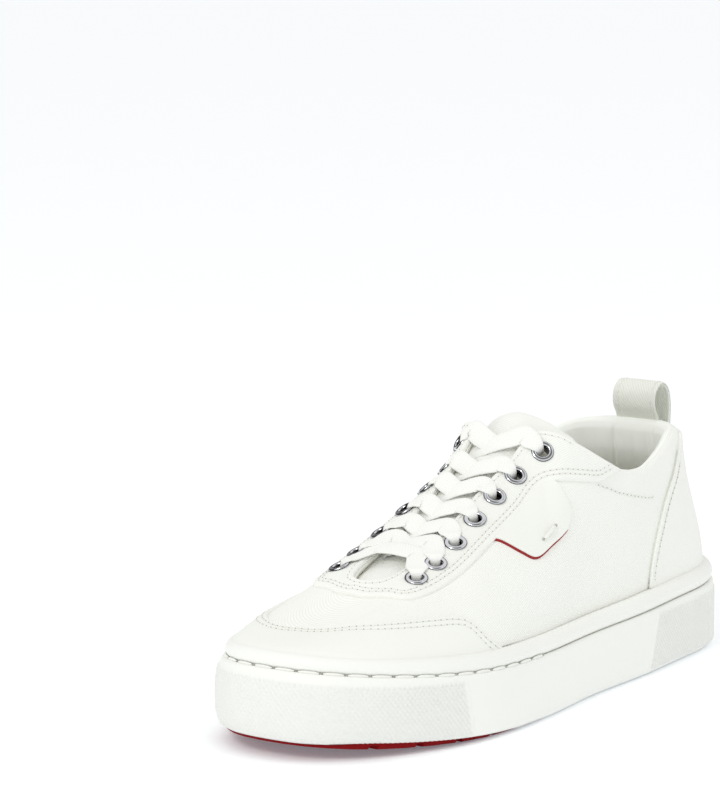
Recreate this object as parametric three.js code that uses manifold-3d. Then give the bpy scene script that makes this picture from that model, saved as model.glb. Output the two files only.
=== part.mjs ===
// Low canvas sneaker, the left shoe of a pair, standing empty on its sole.
// Millimetres. The heel is at x = 0, the toe points to +X, the outer (lateral) side
// is +Y and the ground is z = 0. At the end the shoe is moved so that its origin is
// the middle of its footprint.

import * as THREE from 'three';
import Module from 'manifold-3d';
import { mergeVertices } from 'three/addons/utils/BufferGeometryUtils.js';

const wasm = await Module();
wasm.setup();

// Driving dimensions of the sole
const soleLength = 300;
const ballWidth = 106;
const heelWidth = 76;
const toeRoundLength = 79;
const heelRoundLength = 45;
const sidewallHeel = 28.5;
const sidewallWaist = 26.4;
const sidewallToe = 28.5;
const toeSpring = 6.7;
const heelSpring = 1;
const sidewallLift = 2.6;
const sidewallThickness = 6.1;
const footbedHeel = 21.5;
const footbedBall = 16;
const outsoleThickness = 4;
const outsoleInset = 3.5;
const treadPitch = 19;
const treadWidth = 3.2;
const treadDepth = 1.6;

// Driving dimensions of the welt, the upper and what is inside it
const weltHeel = 7.6;
const weltToe = 3.8;
const weltThickness = 4.2;
const upperWall = 2;
const collarHeight = 99;
const collarWidth = 68;
const instepHeight = 110;
const throatWidth = 20.4;
const collarPad = 6.5;
const overlayThickness = 1.1;
const insoleThickness = 5;
const tongueThickness = 3;
const tonguePadding = 2;
const tongueRise = 4.5;
const tongueWidth = 50;
const patchThickness = 0.8;

// Driving dimensions of the fittings
const eyeletOuter = 9.5;
const eyeletInner = 5;
const eyeletBarrel = 6;
const eyeletFlange = 0.9;
const eyeletsPerSide = 7;
const laceWidth = 8.2;
const laceThickness = 1.2;
const laceHump = 2.2;
const loopWidth = 22;
const loopStrap = 1.6;
const loopHeight = 16;
const tabThickness = 1.3;

// Clearances
const seatGap = 0.3;
const drapeGap = 0.5;

// How finely curves are cut into facets
const columnsAround = 52;
const columnTurns = Array.from({ length: columnsAround }, (_, index) => index / columnsAround);
const profileRows = [0, 0.1, 0.23, 0.38, 0.54, 0.7, 0.85, 1];
const eyeletSides = 8;
const facetTolerance = 0.05;

// Small helpers

const mix = (from, to, share) => from + (to - from) * share;
const limit = (value, low, high) => Math.min(Math.max(value, low), high);

function smoothStep(from, to, value) {
  const share = limit((value - from) / (to - from), 0, 1);
  return share * share * (3 - 2 * share);
}

// Reads a table at any place between its rows, on a smooth curve through them.
// A closed table has its first row again at the end, one turn on.
function smoothTable(rows, closed) {
  const names = Object.keys(rows[0]).filter((name) => name !== 'at');
  const last = rows.length - 1;
  const before = closed ? { ...rows[last - 1], at: rows[last - 1].at - 1 } : rows[0];
  const after = closed ? { ...rows[1], at: rows[1].at + 1 } : rows[last];
  const padded = [before, ...rows, after];
  const slope = (index, name) => {
    const run = padded[index + 1].at - padded[index - 1].at;
    return (padded[index + 1][name] - padded[index - 1][name]) / run;
  };
  return (at) => {
    let index = 1;
    while (index < last && padded[index + 1].at < at) index += 1;
    const low = padded[index];
    const high = padded[index + 1];
    const run = high.at - low.at;
    const share = limit((at - low.at) / run, 0, 1);
    const square = share * share;
    const cube = square * share;
    const read = (name) =>
      (2 * cube - 3 * square + 1) * low[name] +
      (cube - 2 * square + share) * run * slope(index, name) +
      (3 * square - 2 * cube) * high[name] +
      (cube - square) * run * slope(index + 1, name);
    return Object.fromEntries(names.map((name) => [name, read(name)]));
  };
}

// Solids from sections. Each section is a closed ring of points, and all have as
// many. A closed loft joins its last section to its first, an open one is capped.
// Four corners that aren't flat are split so that the solid is the smaller, which
// keeps the gap between two pieces that follow each other.

function weld(positions) {
  const soup = new THREE.BufferGeometry();
  soup.setAttribute('position', new THREE.Float32BufferAttribute(positions, 3));
  const merged = mergeVertices(soup, 1e-3);
  const corners = merged.index.array;
  const kept = [];
  for (let i = 0; i < corners.length; i += 3) {
    const [a, b, c] = [corners[i], corners[i + 1], corners[i + 2]];
    if (a !== b && b !== c && c !== a) kept.push(a, b, c);
  }
  merged.setIndex(kept);
  return merged;
}

const volumeUnder = (a, b, c) => a.dot(b.clone().cross(c)) / 6;

function signedVolume(geometry) {
  const place = geometry.attributes.position;
  const corners = geometry.index.array;
  const at = (corner) => new THREE.Vector3().fromBufferAttribute(place, corner);
  let volume = 0;
  for (let i = 0; i < corners.length; i += 3) {
    volume += volumeUnder(at(corners[i]), at(corners[i + 1]), at(corners[i + 2]));
  }
  return volume;
}

function faceOutward(geometry) {
  if (signedVolume(geometry) < 0) {
    const corners = geometry.index.array;
    for (let i = 0; i < corners.length; i += 3) {
      [corners[i], corners[i + 1]] = [corners[i + 1], corners[i]];
    }
  }
  geometry.computeVertexNormals();
  return geometry;
}

function loftFaces(sections, closed, facing) {
  const positions = [];
  const ring = sections[0].length;
  const addFace = (...points) => points.forEach((point) => positions.push(...point.toArray()));
  const addQuad = (a, b, c, d) => {
    const oneWay = volumeUnder(a, b, c) + volumeUnder(a, c, d);
    const otherWay = volumeUnder(b, c, d) + volumeUnder(b, d, a);
    if (facing * oneWay <= facing * otherWay) {
      addFace(a, b, c);
      addFace(a, c, d);
    } else {
      addFace(b, c, d);
      addFace(b, d, a);
    }
  };
  const steps = closed ? sections.length : sections.length - 1;
  for (let step = 0; step < steps; step += 1) {
    const near = sections[step];
    const far = sections[(step + 1) % sections.length];
    for (let i = 0; i < ring; i += 1) {
      const next = (i + 1) % ring;
      addQuad(near[i], near[next], far[next], far[i]);
    }
  }
  const addCap = (section, flip) => {
    for (let i = 0; i < ring / 2; i += 1) {
      const [a, b] = [section[i], section[i + 1]];
      const [c, d] = [section[(ring - i - 1) % ring], section[(ring - i) % ring]];
      if (flip) addQuad(d, c, b, a);
      else addQuad(a, b, c, d);
    }
  };
  if (!closed) {
    addCap(sections[0], true);
    addCap(sections[sections.length - 1], false);
  }
  return weld(positions);
}

function loft(sections, closed) {
  const facing = Math.sign(signedVolume(loftFaces(sections, closed, 1)));
  return faceOutward(loftFaces(sections, closed, facing));
}

function toManifold(geometry) {
  const bare = geometry.index ? geometry.toNonIndexed() : geometry.clone();
  const merged = weld(bare.attributes.position.array);
  const mesh = new wasm.Mesh({
    numProp: 3,
    vertProperties: new Float32Array(merged.attributes.position.array),
    triVerts: new Uint32Array(merged.index.array),
  });
  return new wasm.Manifold(mesh);
}

function fromManifold(manifold) {
  const mesh = manifold.simplify(facetTolerance).getMesh();
  const geometry = new THREE.BufferGeometry();
  geometry.setAttribute('position', new THREE.Float32BufferAttribute(mesh.vertProperties, 3));
  geometry.setIndex(Array.from(mesh.triVerts));
  geometry.computeVertexNormals();
  return geometry;
}

// Outline of the sole from above. A turn of 0 is the middle of the heel, 0.5 the tip
// of the toe, the lateral side first. Widths are shares of the size they follow.

const soleWidths = smoothTable([
  { at: 0, lateral: 0.49 * heelWidth, medial: 0.49 * heelWidth, drift: 0 },
  { at: 0.12, lateral: 0.5 * heelWidth, medial: 0.5 * heelWidth, drift: 0 },
  { at: 0.3, lateral: 0.42 * ballWidth, medial: 0.395 * ballWidth, drift: 0 },
  { at: 0.45, lateral: 0.45 * ballWidth, medial: 0.362 * ballWidth, drift: 0 },
  { at: 0.6, lateral: 0.511 * ballWidth, medial: 0.44 * ballWidth, drift: 0 },
  { at: 0.72, lateral: 0.533 * ballWidth, medial: 0.502 * ballWidth, drift: 0 },
  { at: 0.86, lateral: 0.49 * ballWidth, medial: 0.47 * ballWidth, drift: 0 },
  { at: 1, lateral: 0.49 * ballWidth, medial: 0.44 * ballWidth, drift: -0.01 * ballWidth },
]);

const toeRoundness = 2.3;
const heelRoundness = 2.2;

function endRounding(x) {
  const intoHeel = limit((heelRoundLength - x) / heelRoundLength, 0, 1);
  const intoToe = limit((x - soleLength + toeRoundLength) / toeRoundLength, 0, 1);
  const heel = (1 - intoHeel ** heelRoundness) ** (1 / heelRoundness);
  const toe = (1 - intoToe ** toeRoundness) ** (1 / toeRoundness);
  return heel * toe;
}

function outlinePoint(turn) {
  const angle = 2 * Math.PI * turn;
  const share = (1 - Math.cos(angle)) / 2;
  const widths = soleWidths(share);
  const x = soleLength * share;
  const half = Math.sin(angle) >= 0 ? widths.lateral : -widths.medial;
  return new THREE.Vector2(x, half * endRounding(x) + widths.drift);
}

function outlineInset(turn, inset) {
  const nudge = 1 / 720;
  const ahead = outlinePoint(turn + nudge);
  const along = ahead.sub(outlinePoint(turn - nudge)).normalize();
  const inward = new THREE.Vector2(along.y, -along.x);
  return outlinePoint(turn).addScaledVector(inward, inset);
}

// Heights of the sole, each worked out at its own x

function groundLift(x) {
  const share = x / soleLength;
  const toe = limit((share - 0.66) / 0.34, 0, 1);
  const heel = limit((0.1 - share) / 0.1, 0, 1);
  return toeSpring * toe ** 2 + heelSpring * heel ** 2;
}

function sidewallTop(x) {
  const share = limit(x / soleLength, 0, 1);
  const height = share < 0.5
    ? mix(sidewallHeel, sidewallWaist, smoothStep(0, 0.5, share))
    : mix(sidewallWaist, sidewallToe, smoothStep(0.5, 1, share));
  return height + groundLift(x);
}

function weltTop(x) {
  return sidewallTop(x) + seatGap + mix(weltHeel, weltToe, smoothStep(0.2, 1, x / soleLength));
}

function footbed(x) {
  return groundLift(x) + mix(footbedHeel, footbedBall, smoothStep(0.2, 0.7, x / soleLength));
}

function outlineLoop(inset, heightAt) {
  return columnTurns.map((turn) => {
    const place = outlineInset(turn, inset);
    return new THREE.Vector3(place.x, place.y, heightAt(place.x));
  });
}

// Sole

const pocketRoof = outsoleThickness + seatGap;
const upperInset = sidewallThickness + seatGap;
const insoleInset = upperInset + upperWall + seatGap;

function makeMidsole() {
  const lift = (height) => (x) => height + groundLift(x);
  const below = (drop) => (x) => sidewallTop(x) - drop;
  const pocketInset = outsoleInset - seatGap;
  const middle = (x) => mix(sidewallLift + groundLift(x), sidewallTop(x), 0.5);
  return loft([
    outlineLoop(pocketInset, lift(pocketRoof)),
    outlineLoop(pocketInset, lift(sidewallLift)),
    outlineLoop(1.3, lift(sidewallLift)),
    outlineLoop(0.3, lift(sidewallLift + 1.1)),
    outlineLoop(0, lift(sidewallLift + 3)),
    outlineLoop(-0.4, middle),
    outlineLoop(0, below(4.5)),
    outlineLoop(0.9, below(0.9)),
    outlineLoop(2.3, below(0)),
    outlineLoop(sidewallThickness, below(0)),
    outlineLoop(sidewallThickness, footbed),
  ], false);
}

function treadCutter() {
  const cutters = [];
  const count = Math.floor(soleLength / treadPitch) - 1;
  const first = (soleLength - (count - 1) * treadPitch) / 2;
  for (let index = 0; index < count; index += 1) {
    const x = first + index * treadPitch;
    const slope = Math.atan2(groundLift(x + treadWidth) - groundLift(x - treadWidth), 2 * treadWidth);
    const bar = new THREE.BoxGeometry(treadWidth, 2 * ballWidth, 2 * treadDepth);
    bar.rotateY(-slope);
    bar.translate(x, 0, groundLift(x));
    cutters.push(toManifold(bar));
  }
  return cutters.reduce((all, bar) => all.add(bar));
}

function makeOutsole() {
  const lift = (height) => (x) => height + groundLift(x);
  const slab = loft([
    outlineLoop(outsoleInset + 0.9, lift(0)),
    outlineLoop(outsoleInset, lift(0.9)),
    outlineLoop(outsoleInset, lift(outsoleThickness)),
  ], false);
  return fromManifold(toManifold(slab).subtract(treadCutter()));
}

function makeWelt() {
  const seat = (x) => sidewallTop(x) + seatGap;
  const risen = (share) => (x) => mix(seat(x), weltTop(x), share);
  const outer = sidewallThickness - weltThickness;
  return loft([
    outlineLoop(sidewallThickness, seat),
    outlineLoop(outer + 0.3, seat),
    outlineLoop(outer, risen(0.35)),
    outlineLoop(outer + 0.4, risen(0.75)),
    outlineLoop(outer + 1.5, risen(1)),
    outlineLoop(sidewallThickness, risen(1)),
  ], true);
}

function makeInsole() {
  const rest = (x) => footbed(x) + seatGap;
  const above = (height) => (x) => rest(x) + height;
  return loft([
    outlineLoop(insoleInset, rest),
    outlineLoop(insoleInset, above(insoleThickness)),
    outlineLoop(insoleInset + 3, above(insoleThickness + 0.6)),
    outlineLoop(insoleInset + 9, above(insoleThickness - 0.8)),
  ], false);
}

// Upper. Each column of it runs from the welt to the top line on one Bezier curve.
// x places the top line as a share of the sole's length, y and z as shares of the
// widths and heights that they follow. rise and lean set the lower handle, dip and
// spread the upper one, as shares of the curve's own height and reach.

const halfCollar = collarWidth / 2;
const halfThroat = throatWidth / 2;
const topRows = [
  { at: 0, x: 0.083, y: 0, z: collarHeight, rise: 0.3, lean: 0.03, spread: 0.02, dip: 0.38 },
  { at: 0.047, x: 0.091, y: 0.38 * halfCollar, z: collarHeight, rise: 0.3, lean: 0.03, spread: 0.02, dip: 0.38 },
  { at: 0.094, x: 0.122, y: 0.7 * halfCollar, z: 0.995 * collarHeight, rise: 0.3, lean: 0.02, spread: 0.04, dip: 0.36 },
  { at: 0.125, x: 0.163, y: 0.86 * halfCollar, z: 0.98 * collarHeight, rise: 0.32, lean: 0, spread: 0.06, dip: 0.34 },
  { at: 0.156, x: 0.213, y: 0.96 * halfCollar, z: 0.924 * collarHeight, rise: 0.34, lean: -0.03, spread: 0.1, dip: 0.32 },
  { at: 0.18, x: 0.263, y: halfCollar, z: 0.876 * collarHeight, rise: 0.34, lean: -0.04, spread: 0.14, dip: 0.3 },
  { at: 0.205, x: 0.32, y: halfCollar, z: 0.892 * collarHeight, rise: 0.34, lean: -0.02, spread: 0.2, dip: 0.3 },
  { at: 0.22, x: 0.36, y: 0.94 * halfCollar, z: 0.855 * instepHeight, rise: 0.32, lean: 0, spread: 0.26, dip: 0.28 },
  { at: 0.235, x: 0.4, y: 0.84 * halfCollar, z: 0.918 * instepHeight, rise: 0.3, lean: 0.03, spread: 0.31, dip: 0.26 },
  { at: 0.25, x: 0.43, y: 0.66 * halfCollar, z: 0.972 * instepHeight, rise: 0.27, lean: 0.06, spread: 0.34, dip: 0.24 },
  { at: 0.264, x: 0.448, y: 1.4 * halfThroat, z: 0.972 * instepHeight, rise: 0.25, lean: 0.08, spread: 0.36, dip: 0.23 },
  { at: 0.281, x: 0.488, y: 1.17 * halfThroat, z: 0.888 * instepHeight, rise: 0.23, lean: 0.1, spread: 0.37, dip: 0.22 },
  { at: 0.3125, x: 0.55, y: halfThroat, z: 0.79 * instepHeight, rise: 0.23, lean: 0.1, spread: 0.37, dip: 0.22 },
  { at: 0.344, x: 0.61, y: 0.95 * halfThroat, z: 0.694 * instepHeight, rise: 0.24, lean: 0.1, spread: 0.37, dip: 0.22 },
  { at: 0.375, x: 0.663, y: 0.97 * halfThroat, z: 0.623 * instepHeight, rise: 0.26, lean: 0.1, spread: 0.38, dip: 0.23 },
  { at: 0.406, x: 0.707, y: halfThroat, z: 0.579 * instepHeight, rise: 0.28, lean: 0.09, spread: 0.38, dip: 0.31 },
  { at: 0.4375, x: 0.74, y: 0.93 * halfThroat, z: 0.551 * instepHeight, rise: 0.3, lean: 0.07, spread: 0.37, dip: 0.48 },
  { at: 0.469, x: 0.765, y: 0.6 * halfThroat, z: 0.535 * instepHeight, rise: 0.32, lean: 0.05, spread: 0.355, dip: 0.74 },
  { at: 0.5, x: 0.772, y: 0, z: 0.53 * instepHeight, rise: 0.34, lean: 0.04, spread: 0.345, dip: 0.86 },
];

function mirrored(rows) {
  const medial = rows.slice(0, -1).reverse().map((row) => ({ ...row, at: 1 - row.at, y: -row.y }));
  return [...rows, ...medial];
}

const topLine = smoothTable(mirrored(topRows), true);

function curveOf(turn) {
  const whole = ((turn % 1) + 1) % 1;
  const row = topLine(whole);
  const foot = outlineInset(whole, upperInset);
  const drift = soleWidths(limit(row.x, 0, 1)).drift;
  const start = new THREE.Vector3(foot.x, foot.y, weltTop(foot.x));
  const end = new THREE.Vector3(row.x * soleLength, row.y + drift, row.z);
  const reach = end.clone().sub(start);
  const lower = start.clone().add(new THREE.Vector3(reach.x * row.lean, reach.y * row.lean, reach.z * row.rise));
  const upper = end.clone().sub(new THREE.Vector3(reach.x * row.spread, reach.y * row.spread, reach.z * row.dip));
  return new THREE.CubicBezierCurve3(start, lower, upper, end);
}

// height runs from -1, the foot of the wall inside the sole, over 0, the top of the
// welt, to 1, the top line
function skinPoint(turn, height) {
  const curve = curveOf(turn);
  if (height >= 0) return curve.getPoint(limit(height, 0, 1));
  const start = curve.v0;
  return start.clone().setZ(mix(start.z, footbed(start.x) + seatGap, -height));
}

function skinNormal(turn, height) {
  const nudge = 1 / 360;
  const step = 0.02;
  const along = skinPoint(turn + nudge, height).sub(skinPoint(turn - nudge, height));
  const above = skinPoint(turn, Math.min(height + step, 1));
  const up = above.sub(skinPoint(turn, Math.max(height - step, -1)));
  return up.cross(along).normalize();
}

function skinOffset(turn, height, offset) {
  return skinPoint(turn, height).addScaledVector(skinNormal(turn, height), offset);
}

// The collar is padded on its inside, most of all behind the heel
function wallAt(turn, height) {
  const fromHeel = Math.min(turn, 1 - turn);
  const around = mix(0.35, 1, 1 - smoothStep(0.05, 0.16, fromHeel)) * (1 - smoothStep(0.19, 0.235, fromHeel));
  const crown = smoothStep(0.45, 0.86, height);
  return upperWall + collarPad * around * crown;
}

function makeUpperBlank() {
  const outerRows = [-1, ...profileRows];
  const innerRows = [1, 0.85, 0.7, 0.54, 0.3, 0, -1];
  const loopAt = (pointAt) => columnTurns.map(pointAt);
  const outside = outerRows.map((height) => loopAt((turn) => skinPoint(turn, height)));
  const inside = innerRows.map((height) => loopAt((turn) => skinOffset(turn, height, -wallAt(turn, height))));
  const rim = loopAt((turn) => {
    const wall = wallAt(turn, 1);
    const middle = skinOffset(turn, 1, -wall / 2);
    return middle.setZ(middle.z + 0.3 * (wall - upperWall));
  });
  return loft([...outside, rim, ...inside], true);
}

// The upper as it is faceted: a point between the corners of its facets, so that a
// skin laid on it keeps its gap all over
function facetPoint(turn, height, offset) {
  const column = turn * columnsAround;
  const near = Math.floor(column);
  let row = 0;
  while (row < profileRows.length - 2 && profileRows[row + 1] < height) row += 1;
  const across = (height - profileRows[row]) / (profileRows[row + 1] - profileRows[row]);
  const corner = (step, rise) => skinOffset((near + step) / columnsAround, profileRows[row + rise], offset);
  const low = corner(0, 0).lerp(corner(1, 0), column - near);
  const high = corner(0, 1).lerp(corner(1, 1), column - near);
  return low.lerp(high, across);
}

const pointOf = ({ turn, height }) => skinPoint(turn, height);

// The place on the skin nearest to a point, searched for from a place close by
function landOn(target, from) {
  const far = (place) => pointOf(place).distanceTo(target);
  let best = { ...from };
  let [turnStep, heightStep] = [0.01, 0.1];
  while (turnStep > 1e-5) {
    const tries = [[turnStep, 0], [-turnStep, 0], [0, heightStep], [0, -heightStep]].map(([across, up]) => (
      { turn: best.turn + across, height: limit(best.height + up, 0, 1) }));
    const nearest = tries.reduce((one, other) => (far(one) < far(other) ? one : other));
    if (far(nearest) < far(best)) {
      best = nearest;
    } else {
      turnStep /= 2;
      heightStep /= 2;
    }
  }
  return best;
}

// A thin skin laid on the upper between two turns, from one height to another
function makeOverlay({ from, to, low, high, inner, outer, extra = [] }) {
  const inside = (turn) => turn > from + 1e-4 && turn < to - 1e-4;
  const whole = Array.from({ length: 2 * columnsAround }, (_, index) => index / columnsAround - 0.5);
  const turns = [from, ...[...whole, ...extra].filter(inside), to].sort((a, b) => a - b);
  return loft(turns.map((turn) => {
    const heights = profileRows.map((row) => limit(row, low(turn), high(turn)));
    const edged = [low(turn), ...heights.slice(1, -1), high(turn)];
    const front = edged.map((height) => facetPoint(turn, height, outer));
    const back = edged.map((height) => facetPoint(turn, height, inner));
    return [...front, ...back.reverse()];
  }), false);
}

const overlayFoot = 0.022;
const overlayInner = drapeGap;
const overlayOuter = drapeGap + overlayThickness;
const bothSides = (turn) => Math.min(turn, 1 - turn);

const capEdge = smoothTable([
  { at: 0.309, height: overlayFoot },
  { at: 0.322, height: 0.13 },
  { at: 0.333, height: 0.26 },
  { at: 0.344, height: 0.335 },
  { at: 0.367, height: 0.385 },
  { at: 0.41, height: 0.45 },
  { at: 0.455, height: 0.515 },
  { at: 0.5, height: 0.54 },
], false);

const stayEdge = smoothTable([
  { at: 0.209, height: 0.96 },
  { at: 0.223, height: 0.82 },
  { at: 0.25, height: 0.72 },
  { at: 0.278, height: 0.68 },
  { at: 0.31, height: 0.645 },
  { at: 0.345, height: 0.59 },
  { at: 0.368, height: 0.57 },
  { at: 0.39, height: 0.6 },
  { at: 0.43, height: 0.765 },
  { at: 0.465, height: 0.86 },
  { at: 0.5, height: 0.895 },
], false);

const heelEdge = smoothTable([
  { at: 0.112, height: 1 },
  { at: 0.134, height: 0.77 },
  { at: 0.1515, height: 0.6 },
  { at: 0.163, height: 0.4 },
  { at: 0.169, height: 0.2 },
  { at: 0.172, height: 2 * overlayFoot },
], false);

const capTurn = 0.309;
const stayTurn = 0.209;
const heelTurn = 0.172;

function makeToeCap() {
  return makeOverlay({
    from: capTurn,
    to: 1 - capTurn,
    low: () => overlayFoot,
    high: (turn) => capEdge(bothSides(turn)).height,
    inner: overlayInner,
    outer: overlayOuter,
    extra: [0.325, 0.341, 0.659, 0.675],
  });
}

function makeHeelPanel() {
  return makeOverlay({
    from: -heelTurn,
    to: heelTurn,
    low: () => overlayFoot,
    high: (turn) => heelEdge(Math.abs(turn)).height,
    inner: overlayInner,
    outer: overlayOuter,
    extra: [-0.159, 0.159],
  });
}

function makeEyestayBlank() {
  return makeOverlay({
    from: stayTurn,
    to: 1 - stayTurn,
    low: (turn) => stayEdge(bothSides(turn)).height,
    high: () => 1,
    inner: overlayInner,
    outer: overlayOuter,
  });
}

// The tab's corners are rounded, and its upper edge stops just short of the eyestay
const tabRows = smoothTable([
  { at: 0.245, low: 0.52, high: 0.55 },
  { at: 0.249, low: 0.475, high: 0.61 },
  { at: 0.2545, low: 0.445, high: 0.662 },
  { at: 0.266, low: 0.415, high: 0.671 },
  { at: 0.274, low: 0.425, high: 0.667 },
  { at: 0.284, low: 0.492, high: 0.656 },
  { at: 0.302, low: 0.62, high: 0.637 },
], false);

function makeTab() {
  return makeOverlay({
    from: 0.245,
    to: 0.302,
    low: (turn) => tabRows(turn).low,
    high: (turn) => tabRows(turn).high,
    inner: drapeGap,
    outer: drapeGap + tabThickness,
    extra: [0.249, 0.2545, 0.26, 0.27, 0.277, 0.29],
  });
}

// Eyelets. The row runs beside the throat, lowest first.

const eyeletRow = smoothTable([
  { at: 0.26, height: 0.862 },
  { at: 0.28, height: 0.868 },
  { at: 0.3, height: 0.864 },
  { at: 0.322, height: 0.843 },
  { at: 0.343, height: 0.808 },
  { at: 0.3655, height: 0.765 },
  { at: 0.3875, height: 0.745 },
], false);

const lowestEyelet = 0.3875;
const highestEyelet = 0.26;

function eyeletPlaces() {
  const places = [];
  for (let index = 0; index < eyeletsPerSide; index += 1) {
    const turn = mix(lowestEyelet, highestEyelet, index / (eyeletsPerSide - 1));
    const { height } = eyeletRow(turn);
    places.push({ name: `eyelet_lateral_${index + 1}`, turn, height });
    places.push({ name: `eyelet_medial_${index + 1}`, turn: 1 - turn, height });
  }
  return places;
}

const ventPlaces = [
  { name: 'vent_front', turn: 0.738, height: 0.24 },
  { name: 'vent_rear', turn: 0.762, height: 0.26 },
];

function standOn(geometry, place, offset) {
  const turnUp = new THREE.Quaternion().setFromUnitVectors(new THREE.Vector3(0, 1, 0), skinNormal(place.turn, place.height));
  geometry.applyQuaternion(turnUp);
  geometry.translate(...skinOffset(place.turn, place.height, offset).toArray());
  return geometry;
}

function makeEyelet(place, seat) {
  const barrel = seat + upperWall;
  const rim = eyeletOuter / 2;
  const profile = [
    [eyeletInner / 2, -barrel],
    [eyeletBarrel / 2, -barrel],
    [eyeletBarrel / 2, 0],
    [rim, 0],
    [eyeletInner / 2, eyeletFlange],
    [eyeletInner / 2, -barrel],
  ].map(([radius, height]) => new THREE.Vector2(radius, height));
  const ring = new THREE.LatheGeometry(profile, eyeletSides);
  return faceOutward(weld(standOn(ring.toNonIndexed(), place, seat).attributes.position.array));
}

// A flange is flat and what it sits on is curved, so it stands a little off it
const flangeRise = 0.75;
const eyeletSeat = overlayOuter + flangeRise;
const ventSeat = flangeRise;

function holeCutter(places) {
  const corner = (eyeletBarrel / 2 + seatGap) / Math.cos(Math.PI / eyeletSides);
  const cutters = places.map((place) => {
    const reach = 4 * (overlayOuter + upperWall);
    return toManifold(standOn(new THREE.CylinderGeometry(corner, corner, reach, eyeletSides), place, 0));
  });
  return cutters.reduce((all, cutter) => all.add(cutter));
}

function makeUpper() {
  return fromManifold(toManifold(makeUpperBlank()).subtract(holeCutter([...eyeletPlaces(), ...ventPlaces])));
}

function makeEyestay() {
  return fromManifold(toManifold(makeEyestayBlank()).subtract(holeCutter(eyeletPlaces())));
}

// Tongue. x is a share of the sole's length, z of the instep's height and half of half
// its width. rise is the share of tongueRise, by which its top stands over the instep.
// drop is how far its edges curl down, as a share of half the width.

const tongueRows = smoothTable([
  { at: 0, x: 0.783, z: 0.4829, rise: 0, half: 0.56, drop: 0.1 },
  { at: 0.1, x: 0.755, z: 0.5203, rise: 0, half: 0.66, drop: 0.14 },
  { at: 0.22, x: 0.71, z: 0.5599, rise: 0, half: 0.76, drop: 0.21 },
  { at: 0.36, x: 0.655, z: 0.6192, rise: 0, half: 0.84, drop: 0.29 },
  { at: 0.52, x: 0.594, z: 0.7067, rise: 0, half: 0.88, drop: 0.37 },
  { at: 0.68, x: 0.533, z: 0.8014, rise: 0, half: 0.9, drop: 0.5 },
  { at: 0.84, x: 0.473, z: 0.9107, rise: 0, half: 0.94, drop: 0.64 },
  { at: 1, x: 0.413, z: 1, rise: 1, half: 1.05, drop: 0.76 },
], false);

const tongueColumns = 9;
const tongueSections = 10;

function tongueCentre(along) {
  const row = tongueRows(along);
  return new THREE.Vector3(row.x * soleLength, 0, row.z * instepHeight + row.rise * tongueRise);
}

function tonguePoint(along, across, depth) {
  const row = tongueRows(along);
  const step = 0.02;
  const ahead = tongueCentre(Math.min(along + step, 1)).sub(tongueCentre(Math.max(along - step, 0)));
  const up = new THREE.Vector3(ahead.z, 0, -ahead.x).normalize();
  const half = row.half * tongueWidth / 2;
  const drop = row.drop * tongueWidth / 2;
  const lean = Math.atan2(2 * drop * across, half);
  const point = tongueCentre(along).addScaledVector(up, -drop * across * across - depth * Math.cos(lean));
  return point.setY(across * half - depth * Math.sin(lean));
}

function makeTongue() {
  const sections = [];
  for (let index = 0; index <= tongueSections; index += 1) {
    const along = index / tongueSections;
    const thickness = tongueThickness + tonguePadding * smoothStep(0.45, 0.8, along);
    const shares = Array.from({ length: tongueColumns }, (_, column) => 2 * column / (tongueColumns - 1) - 1);
    const top = shares.map((share) => tonguePoint(along, share, 0.35 * thickness * share ** 8));
    const under = shares.map((share) => tonguePoint(along, share, thickness * (1 - 0.35 * share ** 8)));
    sections.push([...top, ...under.reverse()]);
  }
  return loft(sections, false);
}

function makePatch() {
  const [low, high] = [0.5, 0.66];
  const half = 0.3;
  const sections = [];
  for (let step = 0; step <= 4; step += 1) {
    const along = mix(low, high, step / 4);
    const width = step === 0 || step === 4 ? half * 0.8 : half;
    const shares = [-width, -width / 2, 0, width / 2, width];
    const top = shares.map((share) => tonguePoint(along, share, -drapeGap - patchThickness));
    const under = shares.map((share) => tonguePoint(along, share, -drapeGap));
    sections.push([...top, ...under.reverse()]);
  }
  return loft(sections, false);
}

// Laces. One bar joins the lowest eyelets, and above it pairs of strips cross over
// the tongue. Their ends lie on the eyestay beside the eyelets' rims.

const laceSeat = overlayOuter + drapeGap;
const laceSteps = 3;
const rimClear = eyeletOuter / 2 + drapeGap;
const eyeletStep = (lowestEyelet - highestEyelet) / (eyeletsPerSide - 1);

// Both edges of a lace at an eyelet, first beside the rim and then at the top line
function laceEnd(index, side) {
  const turn = lowestEyelet - index * eyeletStep;
  const place = (shift) => {
    const there = turn + shift;
    return { turn: side > 0 ? there : 1 - there, height: eyeletRow(there).height };
  };
  const centre = place(0);
  const normal = skinNormal(centre.turn, centre.height);
  const row = pointOf(place(-eyeletStep / 2)).sub(pointOf(place(eyeletStep / 2))).normalize();
  const inward = new THREE.Vector3().crossVectors(row, normal).multiplyScalar(-side);
  return [rimClear, 2 * rimClear].map((reach) => [-0.5, 0.5].map((share) => {
    const target = pointOf(centre).addScaledVector(inward, reach).addScaledVector(row, share * laceWidth);
    const { turn: landed, height } = landOn(target, centre);
    const own = reach > rimClear ? 1 : height;
    return { point: skinOffset(landed, own, laceSeat), up: skinNormal(landed, own) };
  }));
}

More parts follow.
